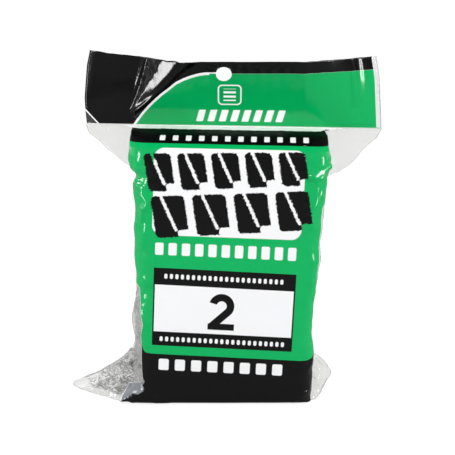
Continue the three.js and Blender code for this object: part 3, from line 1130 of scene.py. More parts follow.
class PrintPlan:
    """The pack's plain print: green and black fields, a white panel of rough blocks, and the grade's box."""

    EDGE = 0.25
    CELLS_BEFORE = 20.0  # whole cells added before a place is folded, so that it is never below 0

    BLOCK_ROWS = (
        BlockRow(-44.0, 40.5, 116.3, 134.4, 5, 0.045, 0.00184),
        BlockRow(-40.0, 44.0, 92.6, 113.6, 4, 0.075, 0.0016),
    )
    BLOCK_FILL = 0.405  # half the share of its cell that a block covers
    BLOCK_RADIUS, BLOCK_LEAN = 2.4, 0.18
    SLIT_HALF, SLIT_RADIUS, SLIT_LEAN = 0.8, 0.7, 0.3
    SLIT_LOW, SLIT_HIGH = 3.0, 5.0  # above the block's bottom, and above its top
    NOTCH_INNER, NOTCH_OUTER = 0.35, 1.2  # as shares of the block's half width
    NOTCH_LOW, NOTCH_HIGH, NOTCH_RADIUS = -5.0, 3.6, 1.5  # both heights above the block's bottom
    ROUGHNESS = 2.2

    DIGIT_CENTRE, DIGIT_FOOT = (-1.0, 54.3), 41.2
    DIGIT_RING, DIGIT_STROKE, DIGIT_EDGE = 4.6, 4.0, 0.12
    DIGIT_HALF_WIDTH, DIGIT_BAR = 6.9, 3.5
    DIGIT_STROKE_END = (-4.9, 2.0)  # across from the numeral's middle, and above its foot
    DIGIT_STROKE_LEFT, DIGIT_STROKE_RIGHT, DIGIT_STROKE_HIGH = -7.0, 9.0, 56.0
    DIGIT_OVERLAP = 0.05
    # The normals of the lines where the ring ends and starts.
    DIGIT_TURN, DIGIT_START = (0.59, 0.81), (0.26, 0.97)

    DOME_CENTRE = (-12.3, WELD_UP - 141.4)
    DOME_OUTER, DOME_INNER = (70.9, 173.7), (69.7, 172.2)
    DOME_EDGE = (1.0015, 0.9985)

    # The flap's painted sheen: its foot is level between two places left of the middle, falls off to their
    # left and rises to their right. The painted patch ends at a side that leans inwards above a height, and
    # at a top.
    FLAP_LEFT, FLAP_RIGHT, FLAP_FALL = 43.6, 41.7, 0.97
    FLAP_FOOT, FLAP_TOP = (2.8, 3.2), 12.0
    FLAP_SIDE, FLAP_LEAN_FROM, FLAP_LEAN = (-39.4, -39.8), 6.6, 1.6

    # Boxes on the front: left, right, bottom, top and corner radius.
    FIELD = (-48.9, 48.9, 26.4, 138.3, 7.0)
    FIELD_SIDES = (-60.0, 60.0, 60.0, 138.3)
    PANEL = (-38.4, 38.0, 91.0, 136.2, 5.2)
    GRADE_PLATE = (-36.9, 36.9, 31.2, 73.3)
    GRADE_BOX = (-36.1, 36.1, 38.9, 64.2)

    # Rows of marks: left, right, bottom, top, number of marks, their share of a cell and corner radius.
    PANEL_ROW = (-37.8, 37.4, 80.4, 87.0, 11, 0.62, 0.8)
    GRADE_HIGH_ROW = (-32.0, 31.0, 67.6, 70.2, 22, 0.55, 0.7)
    GRADE_LOW_ROW = (-33.5, 33.3, 33.6, 36.2, 23, 0.55, 0.7)
    FOOT_ROW = (-34.6, 34.2, 17.6, 23.8, 8, 0.62, 0.9)
    BAND_ROW = (-38.0, 41.0, 140.0, 144.2, 12, 0.42, 0.5)

    # The header's boxes, and its row, which ends with its slant.
    HEADER_UP = WELD_UP - 2.0  # where the header's print starts
    HEADER_LEFT, HEADER_RIGHT = -78.4, 76.2  # the ends of the header's ink
    HEADER_LOW = WELD_UP + 0.6
    HEADER_TOP = WELD_UP + 31.6  # where the green meets the black top band
    HEADER_FIELD = (-12.4, 120.0, WELD_UP - 5.0, HEADER_TOP)
    HEADER_BAND = (-2.4, 120.0, HEADER_TOP, HEADER_TOP + 20.0)
    HEADER_ROW = (-21.0, 27.0, WELD_UP + 3.2, WELD_UP + 10.2, 8, 0.6, 0.5, 1.8)
    SIGN = (-8.2, 4.2, WELD_UP + 13.2, WELD_UP + 25.2, 2.4)
    SIGN_INSIDE = (-7.5, 3.5, WELD_UP + 13.9, WELD_UP + 24.5, 1.8)
    SIGN_BARS, SIGN_BAR_PITCH = (-5.2, 1.2, WELD_UP + 15.6, WELD_UP + 22.8), 2.5

    # Boxes on the back.
    BACK_FIELD = (BACK_OFFSET - 60.0, BACK_OFFSET + 60.0, 26.6, 139.6, 8.0)
    BACK_SIDES = (BACK_OFFSET - 60.0, BACK_OFFSET + 60.0, 60.0, 139.6)
    BACK_BOX = (BACK_OFFSET - 38.0, BACK_OFFSET + 38.0, 44.0, 128.0, 5.2)
    BACK_HEADER = (BACK_OFFSET - 120.0, BACK_OFFSET + 120.0, HEADER_UP, HEADER_TOP)

    # The inked film's bottom, under the foot, and a height beyond its top edge.
    INK_LOW, INK_HIGH = -24.0, WELD_UP + 60.0
    # The header's turned-back corner, with a painted highlight along its crease and painted reflection on the
    # corner beyond: its diagonal's start left of the middle, its slope, and the two edges of the highlight
    # and of the reflection.
    CORNER_ACROSS, CORNER_SLOPE = 79.0, 1.1
    CORNER_LINE, CORNER_FIELD = (9.3, 8.9), (8.4, 8.0)

    def __init__(self, bench: Bench, fields: bpy.types.NodeTree, inks: Inks) -> None:
        """Takes the tools.

        Args:
            bench: The film material's bench.
            fields: The rounded field group.
            inks: The inks.
        """
        self.bench, self.fields, self.inks = bench, fields, inks
        self.place = bench.out("UV", "ShaderNodeUVMap", uv_map="print")
        parts = bench.node("ShaderNodeSeparateXYZ", {"Vector": self.place}).outputs
        self.p, self.q = Signal(bench, parts["X"]), Signal(bench, parts["Y"])

    def field(self, left: float, right: float, low: float, high: float, radius: float = 0.0,
              p: Signal | None = None, q: Signal | None = None) -> Signal:
        """Mask of a rounded rectangle.

        Args:
            left: Its left side, across the film.
            right: Its right side.
            low: Its bottom, up the film.
            high: Its top.
            radius: Corner radius.
            p: Another place across, where it isn't the print's own.
            q: Another place up.

        Returns:
            The mask.
        """
        inputs = {
            "X": p or self.p,
            "Y": q or self.q,
            "Centre X": (left + right) / 2.0,
            "Centre Y": (low + high) / 2.0,
            "Half X": (right - left) / 2.0,
            "Half Y": (high - low) / 2.0,
            "Radius": radius,
            "Edge": self.EDGE,
        }
        return self.bench.group(self.fields, inputs, "Mask")

    def cells(self, place: Signal, left: float, right: float, count: int) -> tuple[Signal, Signal, float]:
        """Folds a place across into equal cells.

        Args:
            place: The place.
            left: Where the first cell starts.
            right: Where the last cell ends.
            count: Number of cells.

        Returns:
            The distance from the cell's middle, a mask of the stretch that the cells fill, and their pitch.
        """
        pitch = (right - left) / count
        along = place - left
        folded = (along + self.CELLS_BEFORE * pitch) % pitch - pitch / 2.0
        return folded, (along > 0.0) * (along < right - left), pitch

    def row(self, left: float, right: float, low: float, high: float, count: int, fill: float, radius: float,
            slant: float = 0.0) -> Signal:
        """Mask of a row of equal marks.

        Args:
            left: Where the first cell starts.
            right: Where the last cell ends.
            low: Bottom of the marks.
            high: Top of the marks.
            count: Number of marks.
            fill: Share of its cell that a mark covers.
            radius: Corner radius.
            slant: How far a mark leans over its height.

        Returns:
            The mask.
        """
        leaned = self.p - (self.q - low) * (slant / (high - low))
        folded, inside, pitch = self.cells(leaned, left, right, count)
        half = pitch * fill / 2.0
        return self.field(-half, half, low, high, radius, p=folded) * inside

    def laid(self, base: Signal | Colour, layers: tuple[tuple[Signal, Colour], ...]) -> Signal:
        """Lays inks over a base.

        Args:
            base: The base colour.
            layers: Mask and ink of each layer, from the lowest up.

        Returns:
            The colour.
        """
        colour = base
        for mask, ink in layers:
            colour = self.bench.mix(mask, colour, ink)
        return colour

    def rough_blocks(self) -> Signal:
        """Two tilted rows of heavy slanted blocks with rough edges, split as a stencil's are.

        Returns:
            The mask.
        """
        rough = (self.bench.noise(self.place, scale=0.9, detail=3.0, Roughness=0.65) - 0.5) * self.ROUGHNESS
        masks = []
        for row in self.BLOCK_ROWS:
            middle, low, high = (row.low + row.high) / 2.0, row.low, row.high
            above = (self.q - self.p * row.tilt + rough - middle) * (self.p * row.squeeze + 1.0)
            placed = above + middle
            leaned = self.p + above * self.BLOCK_LEAN + rough
            folded, inside, pitch = self.cells(leaned, row.left, row.right, row.count)
            half = pitch * self.BLOCK_FILL
            block = self.field(-half, half, low, high, self.BLOCK_RADIUS, folded, placed)
            slit = self.field(-self.SLIT_HALF, self.SLIT_HALF, low + self.SLIT_LOW, high + self.SLIT_HIGH,
                              self.SLIT_RADIUS, folded + above * self.SLIT_LEAN, placed)
            notch = self.field(half * self.NOTCH_INNER, half * self.NOTCH_OUTER, low + self.NOTCH_LOW,
                               low + self.NOTCH_HIGH, self.NOTCH_RADIUS, folded, placed)
            masks.append(block * (1.0 - slit.most(notch)) * inside)
        return masks[0].most(masks[1])

    def grade_digit(self) -> Signal:
        """The plain numeral 2: three quarters of a ring, a slanted stroke down to the left, and a foot bar.

        Returns:
            The mask.
        """
        (centre_p, centre_q), low, ring = self.DIGIT_CENTRE, self.DIGIT_FOOT, self.DIGIT_RING
        edges = self.DIGIT_STROKE / 2.0 + self.DIGIT_EDGE, self.DIGIT_STROKE / 2.0 - self.DIGIT_EDGE
        dp, dq = self.p - centre_p, self.q - centre_q
        on_ring = abs((dp**2.0 + dq**2.0).root() - ring).step(*edges)
        turned = dp * self.DIGIT_TURN[0] + dq * self.DIGIT_TURN[1]
        started = dp * self.DIGIT_START[0] + dq * self.DIGIT_START[1]
        arc = on_ring * (turned > 0.0).most(started > 0.0)
        top = ring * self.DIGIT_TURN[1], -ring * self.DIGIT_TURN[0]
        end = self.DIGIT_STROKE_END
        run, rise = end[0] - top[0], low + end[1] - centre_q - top[1]
        length = math.hypot(run, rise)
        across = (dp - top[0]) * (rise / length) - (dq - top[1]) * (run / length)
        box = self.field(self.DIGIT_STROKE_LEFT, self.DIGIT_STROKE_RIGHT, low, self.DIGIT_STROKE_HIGH, p=dp)
        stroke = abs(across).step(*edges) * (turned < self.DIGIT_OVERLAP) * box
        half = self.DIGIT_HALF_WIDTH
        bar = self.field(centre_p - half, centre_p + half, low, low + self.DIGIT_BAR)
        return arc.most(stroke).most(bar)

    def dome(self, a: float, b: float) -> Signal:
        """Mask inside the header's dome: an ellipse left of its middle, and level to the right of it.

        Args:
            a: Half its width.
            b: Its height above its centre.

        Returns:
            The mask.
        """
        dp = (self.p - self.DOME_CENTRE[0]).least(0.0)
        dq = self.q - self.DOME_CENTRE[1]
        return ((dp / a) ** 2.0 + (dq / b) ** 2.0).step(*self.DOME_EDGE)

    def flap_sheen(self) -> Signal:
        """Mask of the painted sheen on the lower left flap: a blue-grey reflection painted above its wavy
        black foot.

        Returns:
            The mask.
        """
        falls = (self.p + self.FLAP_LEFT).least(0.0) * self.FLAP_FALL
        rises = (self.p + self.FLAP_RIGHT).most(0.0)
        above = self.q - (falls + rises)
        leaned = (self.q - self.FLAP_LEAN_FROM).most(0.0) * self.FLAP_LEAN + self.p
        return above.step(*self.FLAP_FOOT) * leaned.step(*self.FLAP_SIDE) * (self.q < self.FLAP_TOP)

    def body(self) -> Signal:
        """The body's print, from the foot to the black band under the weld.

        Returns:
            The colour.
        """
        ink = self.inks
        return self.laid(ink.black, (
            # painted sheen: a blue-grey reflection painted on the black film folded at the lower left foot
            (self.flap_sheen(), ink.painted_sheen),
            (self.field(*self.FIELD), ink.green),
            (self.field(*self.FIELD_SIDES), ink.green),
            (self.field(*self.PANEL), ink.white),
            (self.rough_blocks(), ink.black),
            (self.row(*self.PANEL_ROW), ink.white),
            (self.field(*self.GRADE_PLATE), ink.black),
            (self.field(*self.GRADE_BOX), ink.white),
            (self.grade_digit(), ink.black),
            (self.row(*self.GRADE_HIGH_ROW), ink.white),
            (self.row(*self.GRADE_LOW_ROW), ink.white),
            (self.row(*self.FOOT_ROW), ink.white),
            (self.row(*self.BAND_ROW), ink.white),
        ))

    def sign(self) -> Signal:
        """Mask of the header's plain sign: a rounded frame with level bars in it.

        Returns:
            The mask.
        """
        frame_line = self.field(*self.SIGN) - self.field(*self.SIGN_INSIDE)
        bars = self.bench.math("SINE", self.q * (2.0 * math.pi / self.SIGN_BAR_PITCH)) > 0.0
        return frame_line.most(self.field(*self.SIGN_BARS) * bars)

    def header(self) -> Signal:
        """The header's print: black, with a white-edged green dome and plain marks, and on its turned-back
        corner a painted highlight along the crease and painted reflection beyond it.

        Returns:
            The colour.
        """
        ink = self.inks
        diagonal = (self.p + self.CORNER_ACROSS) * self.CORNER_SLOPE + (self.q - WELD_UP)
        return self.laid(ink.black, (
            (self.dome(*self.DOME_OUTER), ink.bright),
            (self.dome(*self.DOME_INNER), ink.green),
            (self.field(*self.HEADER_FIELD), ink.green),
            (self.field(*self.HEADER_BAND), ink.black),
            (self.row(*self.HEADER_ROW), ink.bright),
            (self.sign(), ink.bright),
            # painted highlight along the turned-back corner's crease, then painted reflection on the corner
            # beyond it
            (diagonal.step(*self.CORNER_LINE), ink.bright),
            (diagonal.step(*self.CORNER_FIELD), ink.corner),
        ))

    def back(self) -> Signal:
        """The back's print: a plain green panel with a bare white box, between black bands.

        Returns:
            The colour.
        """
        ink = self.inks
        return self.laid(ink.black, (
            (self.field(*self.BACK_FIELD), ink.green),
            (self.field(*self.BACK_SIDES), ink.green),
            (self.field(*self.BACK_BOX), ink.white),
            (self.field(*self.BACK_HEADER), ink.green),
        ))

    def colour(self) -> Signal:
        """The whole print, on the front and the back, with a bright strip under the weld and white margins.

        Returns:
            The colour.
        """
        front = self.bench.mix(self.q > self.HEADER_UP, self.body(), self.header())
        both = self.bench.mix(self.p > BACK_OFFSET / 2.0, front, self.back())
        everywhere = 2.0 * BACK_OFFSET
        return self.laid(both, (
            (self.field(-everywhere, everywhere, STRIP_UP, self.HEADER_LOW), self.inks.bright),
            (1.0 - self.cover(0.0), self.inks.white),
        ))

    def cover(self, margin: float) -> Signal:
        """Mask of the inked film.

        Args:
            margin: How far it is grown at its sides.

        Returns:
            The mask.
        """
        masks = []
        for centre in (0.0, BACK_OFFSET):
            reach = INK_HALF_WIDTH + margin
            masks.append(self.field(centre - reach, centre + reach, self.INK_LOW, self.HEADER_LOW))
            left, right = centre + self.HEADER_LEFT - margin, centre + self.HEADER_RIGHT + margin
            masks.append(self.field(left, right, self.HEADER_LOW, self.INK_HIGH))
        return masks[0].most(masks[1]).most(masks[2]).most(masks[3])


@dataclass(frozen=True)
class FilmFinish:
    """Glossy film: opaque where it is printed, clear and slightly grey elsewhere.

    Args:
        inks: The inks.
        index: Refractive index of the clear film.
        haze: Share of the clear film that is milky.
        gloss: Roughness of the clear film's reflections.
        margin: How far the white print runs on past the ink.
        veil: Colour of the milky share.
        tint: Colour that the clear film lets through.
        relief: Height of the wrinkles in metres at full strength.
        grain: Height of the drawn grain, as a share of the wrinkles'.
        grain_scale: Grains per millimetre across, up and through the film.
    """

    inks: Inks
    index: float = 1.45
    haze: float = 0.12
    gloss: float = 0.14
    margin: float = 0.3
    veil: Colour = (0.9, 0.9, 0.895, 1.0)
    tint: Colour = (0.89, 0.89, 0.885, 1.0)
    relief: float = 0.0012
    grain: float = 0.12
    grain_scale: tuple[float, float, float] = (0.8, 0.06, 1.0)

    def material(self, fields: bpy.types.NodeTree, name: str, roughness: float, specular: float,
                 wrinkles: float) -> bpy.types.Material:
        """Makes the material.

        Args:
            fields: The rounded field group.
            name: The material's name.
            roughness: Of the printed film.
            specular: Specular level of the printed film.
            wrinkles: Strength of the fine wrinkles.

        Returns:
            The material.
        """
        made = bpy.data.materials.new(name)
        bench = Bench.cleared(made)
        plan = PrintPlan(bench, fields, self.inks)
        normal = self._relief(bench, plan.place, wrinkles)
        opaque = [
            bench.out(0, "ShaderNodeBsdfPrincipled", {
                "Base Color": colour, "Roughness": rough, "Specular IOR Level": level, "Normal": normal})
            for colour, rough, level in ((plan.colour(), roughness, specular), (self.veil, 0.5, 0.0))
        ]
        printed, veil = opaque
        gloss = bench.out(0, "ShaderNodeBsdfGlossy", {
            "Color": (1.0, 1.0, 1.0, 1.0), "Roughness": self.gloss, "Normal": normal})
        clear = bench.out(0, "ShaderNodeBsdfTransparent", {"Color": self.tint})
        hazy = bench.out(0, "ShaderNodeMixShader", {0: self.haze, 1: clear, 2: veil})
        behind = bench.out("Backfacing", "ShaderNodeNewGeometry")
        index = bench.math("MULTIPLY_ADD", behind, 1.0 / self.index - self.index, self.index)
        fresnel = bench.out(0, "ShaderNodeFresnel", {"IOR": index, "Normal": normal})
        film = bench.out(0, "ShaderNodeMixShader", {0: fresnel, 1: hazy, 2: gloss})
        whole = bench.out(0, "ShaderNodeMixShader", {0: plan.cover(self.margin), 1: film, 2: printed})
        bench.node("ShaderNodeOutputMaterial", {"Surface": whole})
        return made

    def _relief(self, bench: Bench, place: Signal, strength: float) -> Signal:
        """Fine wrinkles and the film's drawn grain.

        Args:
            bench: The material's bench.
            place: The place on the film.
            strength: Strength of the relief.

        Returns:
            The normal.
        """
        fine = bench.noise(place, scale=0.22, detail=4.0, Roughness=0.55, Distortion=0.6)
        drawn_out = bench.out(0, "ShaderNodeMapping", {"Vector": place, "Scale": self.grain_scale})
        height = fine + bench.noise(drawn_out, scale=1.0, detail=2.0) * self.grain
        inputs = {"Height": height, "Strength": strength, "Distance": self.relief}
        return bench.out("Normal", "ShaderNodeBump", inputs)


def strands(name: str, lines: Array, radius: float) -> Piece:
    """Fine three-sided wires along many lines at once, each closed at both ends.

    A wire's ring at a point is three points at a third of a turn, square to the line there.

    Args:
        name: The piece's name.
        lines: Places of each line's points, (lines, points, 3), in millimetres.
        radius: Of the wire.

    Returns:
        The object.
    """
    count, steps = lines.shape[:2]
    tangent = unit(np.gradient(lines, axis=1))
    aside = unit(np.cross(tangent, ASKEW))
    other = np.cross(tangent, aside)
    turns = np.arange(WIRE_SIDES)[:, None] * 2.0 * math.pi / WIRE_SIDES
    from_end = np.minimum(np.linspace(0, 1, steps), np.linspace(1, 0, steps))
    taper = np.minimum(1.0, WIRE_END + WIRE_GROWTH * from_end)
    ring = np.cos(turns) * aside[..., None, :] + np.sin(turns) * other[..., None, :]
    points = lines[..., None, :] + ring * (radius * taper)[None, :, None, None]
    ids = np.arange(count * steps * WIRE_SIDES).reshape(count, steps, WIRE_SIDES)
    a, b = ids[:, :-1], ids[:, 1:]
    walls = np.stack([a, np.roll(a, -1, axis=2), np.roll(b, -1, axis=2), b], axis=-1).reshape(-1, 4)
    ends = np.concatenate([ids[:, 0, ::-1], ids[:, -1]])
    return new_mesh(name, points.reshape(-1, 3), np.concatenate([walls, ends[:, [0, 1, 2, 2]]]))


@dataclass(frozen=True)
class WoolPad:
    """One pad: a ribbon of wool folded round itself, as a soft block of rolled layers under loose fibres.

    Args:
        index: Its place in the stack, from 0 at the bottom.
        half_depth: Half its size from front to back, in millimetres.
        half_height: Half its thickness.
        layers: Turns of the folded ribbon that show at its ends.
        rim: Radius of the rounded edge round each end.
        corner: Radius of its corners, as seen from above.
        clearance: Distance between its ends and the film's sides.
        fibres: Number of loose fibres.
        fibre_radius: Radius of a loose fibre.
        fibre_steps: Points along a loose fibre.
        at_ends: Share of the fibres that lie on the two ends.
    """

    index: int
    half_depth: float = 27.6
    half_height: float = 8.55
    layers: int = 4
    rim: float = 2.2
    corner: float = 12.5
    clearance: float = 1.1
    fibres: int = 880
    fibre_radius: float = 0.11
    fibre_steps: int = 11
    at_ends: float = 0.72

    AROUND = 132  # points round a ring of the block
    CAP_RINGS = 26
    LENGTH_RINGS = 44
    LEAST_HALF_DEPTH, LEAST_HALF_HEIGHT = 0.4, 0.12  # of the innermost loop
    DEPTH_POWER, HEIGHT_POWER = 0.42, 0.55  # of the superellipse; less is squarer
    LUMP_WAVES, SEED_STEP, FIBRE_SEED = 7, 97, 500
    CAP_HOLE = 0.15  # half the thickness that is left where the loops end

    # Where loose fibres lie: past the ends, into the other faces, round the loop, and how far they stray.
    PAST_END = (-0.6, 0.55)
    INTO_FACE = (-0.2, 0.4)
    SPAN = (0.12, 0.75)
    DRIFT = 0.9
    STRAY = 1.1

    @property
    def node(self) -> str:
        """The CAD node that the pad stands for."""
        return f"wool_pad_{self.index + 1}"

    def _named(self, what: str) -> str:
        """The name of one of the pad's pieces."""
        return f"{what}_{self.index + 1}"

    def _racetrack(self, turn: Array, inset: Array) -> tuple[Array, Array]:
        """A point of a flat loop inset from the pad's outline: a superellipse, squarer at the outside.

        Args:
            turn: Angle round the loop.
            inset: Distance inwards from the outline.

        Returns:
            Place from front to back, and height.
        """
        half_y = np.maximum(self.half_depth - inset, self.LEAST_HALF_DEPTH)
        half_z = np.maximum(self.half_height - inset, self.LEAST_HALF_HEIGHT)
        c, s = np.cos(turn), np.sin(turn)
        y = half_y * np.sign(c) * np.abs(c) ** self.DEPTH_POWER
        return y, half_z * np.sign(s) * np.abs(s) ** self.HEIGHT_POWER

    def _wobble(self, x: Array, y: Array, z: Array, length: float, seed: int) -> Array:
        """Soft lumps: a sum of sine waves in random directions.

        Args:
            x: Place across.
            y: Place from front to back.
            z: Height.
            length: Typical wave length.
            seed: Seed of the directions.

        Returns:
            Values of about -1 to 1.
        """
        rng = np.random.default_rng(seed + self.SEED_STEP * self.index)
        total = np.zeros(np.broadcast(x, y, z).shape)
        for _ in range(self.LUMP_WAVES):
            way = rng.normal(size=3)
            way *= rng.uniform(0.6, 1.7) / (np.linalg.norm(way) * length)
            total += np.sin(2.0 * math.pi * (x * way[0] + y * way[1] + z * way[2]) + rng.uniform(0.0, 6.28))
        return total / 3.0

    def build(self) -> list[Piece]:
        """Makes the folded block and its loose fibres, between the film's sides at the pad's height.

        Returns:
            The block and the fibres.
        """
        low, high = (np.array(corner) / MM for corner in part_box(self.node))
        centre = (low + high) / 2.0
        heights = np.linspace(low[2] + 2.0, high[2] - 2.0, 7)
        left, right = (float(through(heights, side.wall).min()) - self.clearance for side in (LEFT, RIGHT))
        centre[0] = (right - left) / 2.0
        half_width = (right + left) / 2.0
        return [self._block(centre, half_width), self._fibres(centre, half_width)]

    def _plan(self, x: Array, y: Array, half_width: float) -> Array:
        """Rounds the pad's corners, as seen from above, by drawing its ends in near the front and back."""
        over = np.clip((np.abs(y) - self.half_depth + self.corner) / self.corner, 0.0, 1.0)
        return x * (1.0 - self.corner * (1.0 - np.sqrt(1.0 - over**2)) / half_width)

    def _block(self, centre: Array, half_width: float) -> Piece:
        """The block: rings of the racetrack that shrink over each end, with grooves between the layers.

        Args:
            centre: The pad's middle.
            half_width: Half its size across.

        Returns:
            The object.
        """
        rim = self.rim
        turn = np.linspace(0.0, 2.0 * math.pi, self.AROUND, endpoint=False)
        cap = np.linspace(self.half_height - self.CAP_HOLE, 0.0, self.CAP_RINGS)
        inset = np.concatenate([cap, np.zeros(self.LENGTH_RINGS), cap[::-1]])[:, None]
        cap_x = half_width - rim * (1.0 - np.sqrt(1.0 - np.clip(1.0 - cap / rim, 0.0, 1.0) ** 2))
        along = np.linspace(-half_width + rim, half_width - rim, self.LENGTH_RINGS)
        y, z = self._racetrack(turn[None, :], inset)
        x = np.broadcast_to(np.concatenate([-cap_x, along, cap_x[::-1]])[:, None], y.shape).copy()
        groove = np.abs(np.sin(math.pi * inset / self.half_height * self.layers)) ** 0.5
        end = np.sign(x) * (np.abs(x) > half_width - rim * 1.01)
        depth = (1.0 - groove) * (0.9 + 0.5 * self._wobble(x, y, z, length=14.0, seed=5))
        x -= end * np.clip(depth, 0.0, 2.0) * smooth(inset, 0.4, 1.2)
        x += end * 0.8 * self._wobble(x, y, z, length=16.0, seed=1)
        swell = 1.0 + 0.016 * self._wobble(x, y, z, length=20.0, seed=2)
        y = y * swell + 0.25 * self._wobble(x, y, z, length=6.0, seed=3)
        flatness = 1.0 + 0.02 * self._wobble(x, y, z, length=24.0, seed=4)
        z = np.clip(z * flatness, -self.half_height, self.half_height)
        points = np.stack([self._plan(x, y, half_width), y, z], axis=-1) + centre
        ids = np.arange(x.size).reshape(x.shape)
        after = np.roll(ids, -1, axis=1)
        faces = [np.stack([ids[:-1], after[:-1], after[1:], ids[1:]], axis=-1).reshape(-1, 4)]
        half = self.AROUND // 2 + 1
        for row, turned in ((0, -1), (-1, 1)):
            upper, lower = ids[row, :half], np.roll(ids[row, ::-1], 1)[:half]
            faces.append(np.stack([upper[:-1], upper[1:], lower[1:], lower[:-1]][::turned], axis=-1))
        return new_mesh(self._named("pad_block"), points.reshape(-1, 3), np.concatenate(faces))

    def _fibres(self, centre: Array, half_width: float) -> Piece:
        """Loose fibres: stretches of the ribbon's loops at random depths, most of them on the pad's two ends.

        Args:
            centre: The pad's middle.
            half_width: Half its size across.

        Returns:
            The object.
        """
        rng = np.random.default_rng(self.FIBRE_SEED + self.index)
        n, high, deep = self.fibres, self.half_height, self.half_depth
        at_end = rng.uniform(size=n) < self.at_ends
        side = np.where(rng.uniform(size=n) < 0.5, -1.0, 1.0)
        inset = np.where(at_end, rng.uniform(0.0, high - 0.5, n), rng.uniform(*self.INTO_FACE, n))
        end_x = side * (half_width + rng.uniform(*self.PAST_END, n))
        x = np.where(at_end, end_x, rng.uniform(-1, 1, n) * half_width)[:, None]
        start = rng.uniform(0.0, 2.0 * math.pi, n)
        span = rng.uniform(*self.SPAN, n) * np.where(rng.uniform(size=n) < 0.5, -1.0, 1.0)
        t = np.linspace(0.0, 1.0, self.fibre_steps)
        drift = inset[:, None] + rng.normal(0.0, self.DRIFT, n)[:, None] * t
        drift = np.clip(drift, np.where(at_end, 0.0, -0.3)[:, None], high - 0.3)
        y, z = self._racetrack(start[:, None] + span[:, None] * t, drift)
        stray = rng.normal(0.0, 1.0, (3, n, 1)) * self.STRAY
        wave = np.sin(math.pi * t)[None, :]
        x = x + np.where(at_end[:, None], 0.25, 1.0) * stray[0] * 2.0 * t
        x = np.clip(x, -half_width - 0.6, half_width + 0.6)
        y = np.clip(y + 0.5 * stray[1] * wave, -deep - 0.5, deep + 0.5)
        z = np.clip(z + 0.5 * stray[2] * wave, -high - 0.1, high + 0.1)
        lines = np.stack([self._plan(x, y, half_width), y, z], axis=-1) + centre
        return strands(self._named("pad_fibres"), lines, self.fibre_radius)


@dataclass(frozen=True)
class WoolFinish:
    """Fine steel fibres, seen as a mat of bright and dark lines: painted highlights on the fibres and painted
    shade in the gaps between them.

    Args:
        light: Colour of the fibres that catch light.
        dark: Colour of the gaps between them, as painted shade.
    """

    light: Colour = (0.80, 0.79, 0.77, 1.0)
    dark: Colour = (0.22, 0.22, 0.21, 1.0)

    # Two mats of fibres that cross: fibres per metre each way, and the place in the noise.
    MATS = (((260.0, 1500.0, 1500.0), 0.0), ((1500.0, 300.0, 1300.0), 5.0))
    LINES = (0.14, 0.36)  # the mats' product where a line is dark, and where it is bright
    PATCHES, CONTRAST = 0.6, 0.8

    def material(self, name: str, lit: float) -> bpy.types.Material:
        """Makes the material.

        Args:
            name: Its name.
            lit: How far it leans to the light colour, from 0 to 1: a higher value gives a copy painted as
                lit, a lower one a copy painted as shaded.

        Returns:
            The material.
        """
        made = bpy.data.materials.new(name)
        bench = Bench.cleared(made)
        place = bench.out("Object", "ShaderNodeTexCoord")
        mats = []
        for scale, seed in self.MATS:
            inputs = {"Vector": place, "Scale": scale, "Location": (seed, seed, 0.0)}
            stretched = bench.out(0, "ShaderNodeMapping", inputs)
            mats.append(bench.noise(stretched, scale=1.0, detail=5.0, Roughness=0.7, Distortion=1.2))
        lines = mats[0] * mats[1]
        patch = bench.noise(place, scale=140.0, detail=3.0)
        tone = lines.step(*self.LINES) + (patch * self.PATCHES + (lit - self.PATCHES))
        share = bench.math("MULTIPLY", tone, self.CONTRAST, clamp=True)
        colour = bench.mix(share, self.dark, self.light)
        normal = bench.out(0, "ShaderNodeBump", {"Height": lines, "Strength": 0.9, "Distance": 0.0006})
        inputs = {"Base Color": colour, "Metallic": 0.5, "Roughness": 0.45, "Normal": normal}
        metal = bench.out(0, "ShaderNodeBsdfPrincipled", inputs)
        bench.node("ShaderNodeOutputMaterial", {"Surface": metal})
        return made


@dataclass(frozen=True)
class EarWool:
    """Loose fibres that have shed into the left ear, in millimetres.

    Args:
        count: Number of fibres.
        steps: Points along a fibre.
        radius: Radius of a fibre.
        top: Height that they reach.
        mouth: Place across of the ear's mouth.
        depth: How far back they lie at the mouth.
    """

    count: int = 600
    steps: int = 11
    radius: float = 0.12
    top: float = 22.0
    mouth: float = -51.0
    depth: float = 8.0

    SEED = 77
    CURL = (0.7, 3.6)  # size of a fibre's curl
    TURN = (1.5, 5.5)  # how far it turns, in radians
    ANY_PHASE = (0.0, 6.28)

    def build(self) -> Piece:
        """Makes the tangle: short curls just behind the ear's front layer, denser towards the stack.

        Returns:
            The object.
        """
        rng = np.random.default_rng(self.SEED)
        n = self.count
        heights = np.linspace(0.5, self.top - 1.0, 160)
        filled = np.cumsum(straight(heights, LEFT.ear) + 2.0)
        z = np.interp(rng.uniform(filled[0], filled[-1], n), filled, heights)[:, None]
        out = 1.02 * rng.uniform(0.0, 1.0, (n, 1)) ** 1.2 - 0.08
        t = np.linspace(0.0, 1.0, self.steps)
        size = rng.uniform(*self.CURL, n)[:, None] * (1.0 - 0.5 * np.clip(out, 0.0, 1.0))
        phase = rng.uniform(*self.ANY_PHASE, (3, n, 1))
        rate = rng.uniform(*self.TURN, (3, n, 1))
        curl = np.sin(phase + rate * t[None, None, :]) * size
        x = self.mouth - straight(z, LEFT.ear) * out + curl[0]
        z = np.clip(z + 0.6 * curl[1], 0.5, self.top)
        reach = straight(z, LEFT.ear)
        x = np.clip(x, self.mouth - 0.96 * reach, self.mouth + 3.0)
        share = np.clip((self.mouth + 0.5 - x) / np.maximum(reach, 1.0), 0.0, 1.0)
        front = -straight(z, LEFT.ear_neck) * (1.0 - share) + straight(z, LEFT.tip_y) * share
        back = rng.uniform(0.0, self.depth, n)[:, None] + 0.3 * np.abs(curl[2])
        y = front + 1.2 + (1.0 - share) * back
        return strands("ear_wool", np.stack([x, y, z], axis=-1), self.radius)


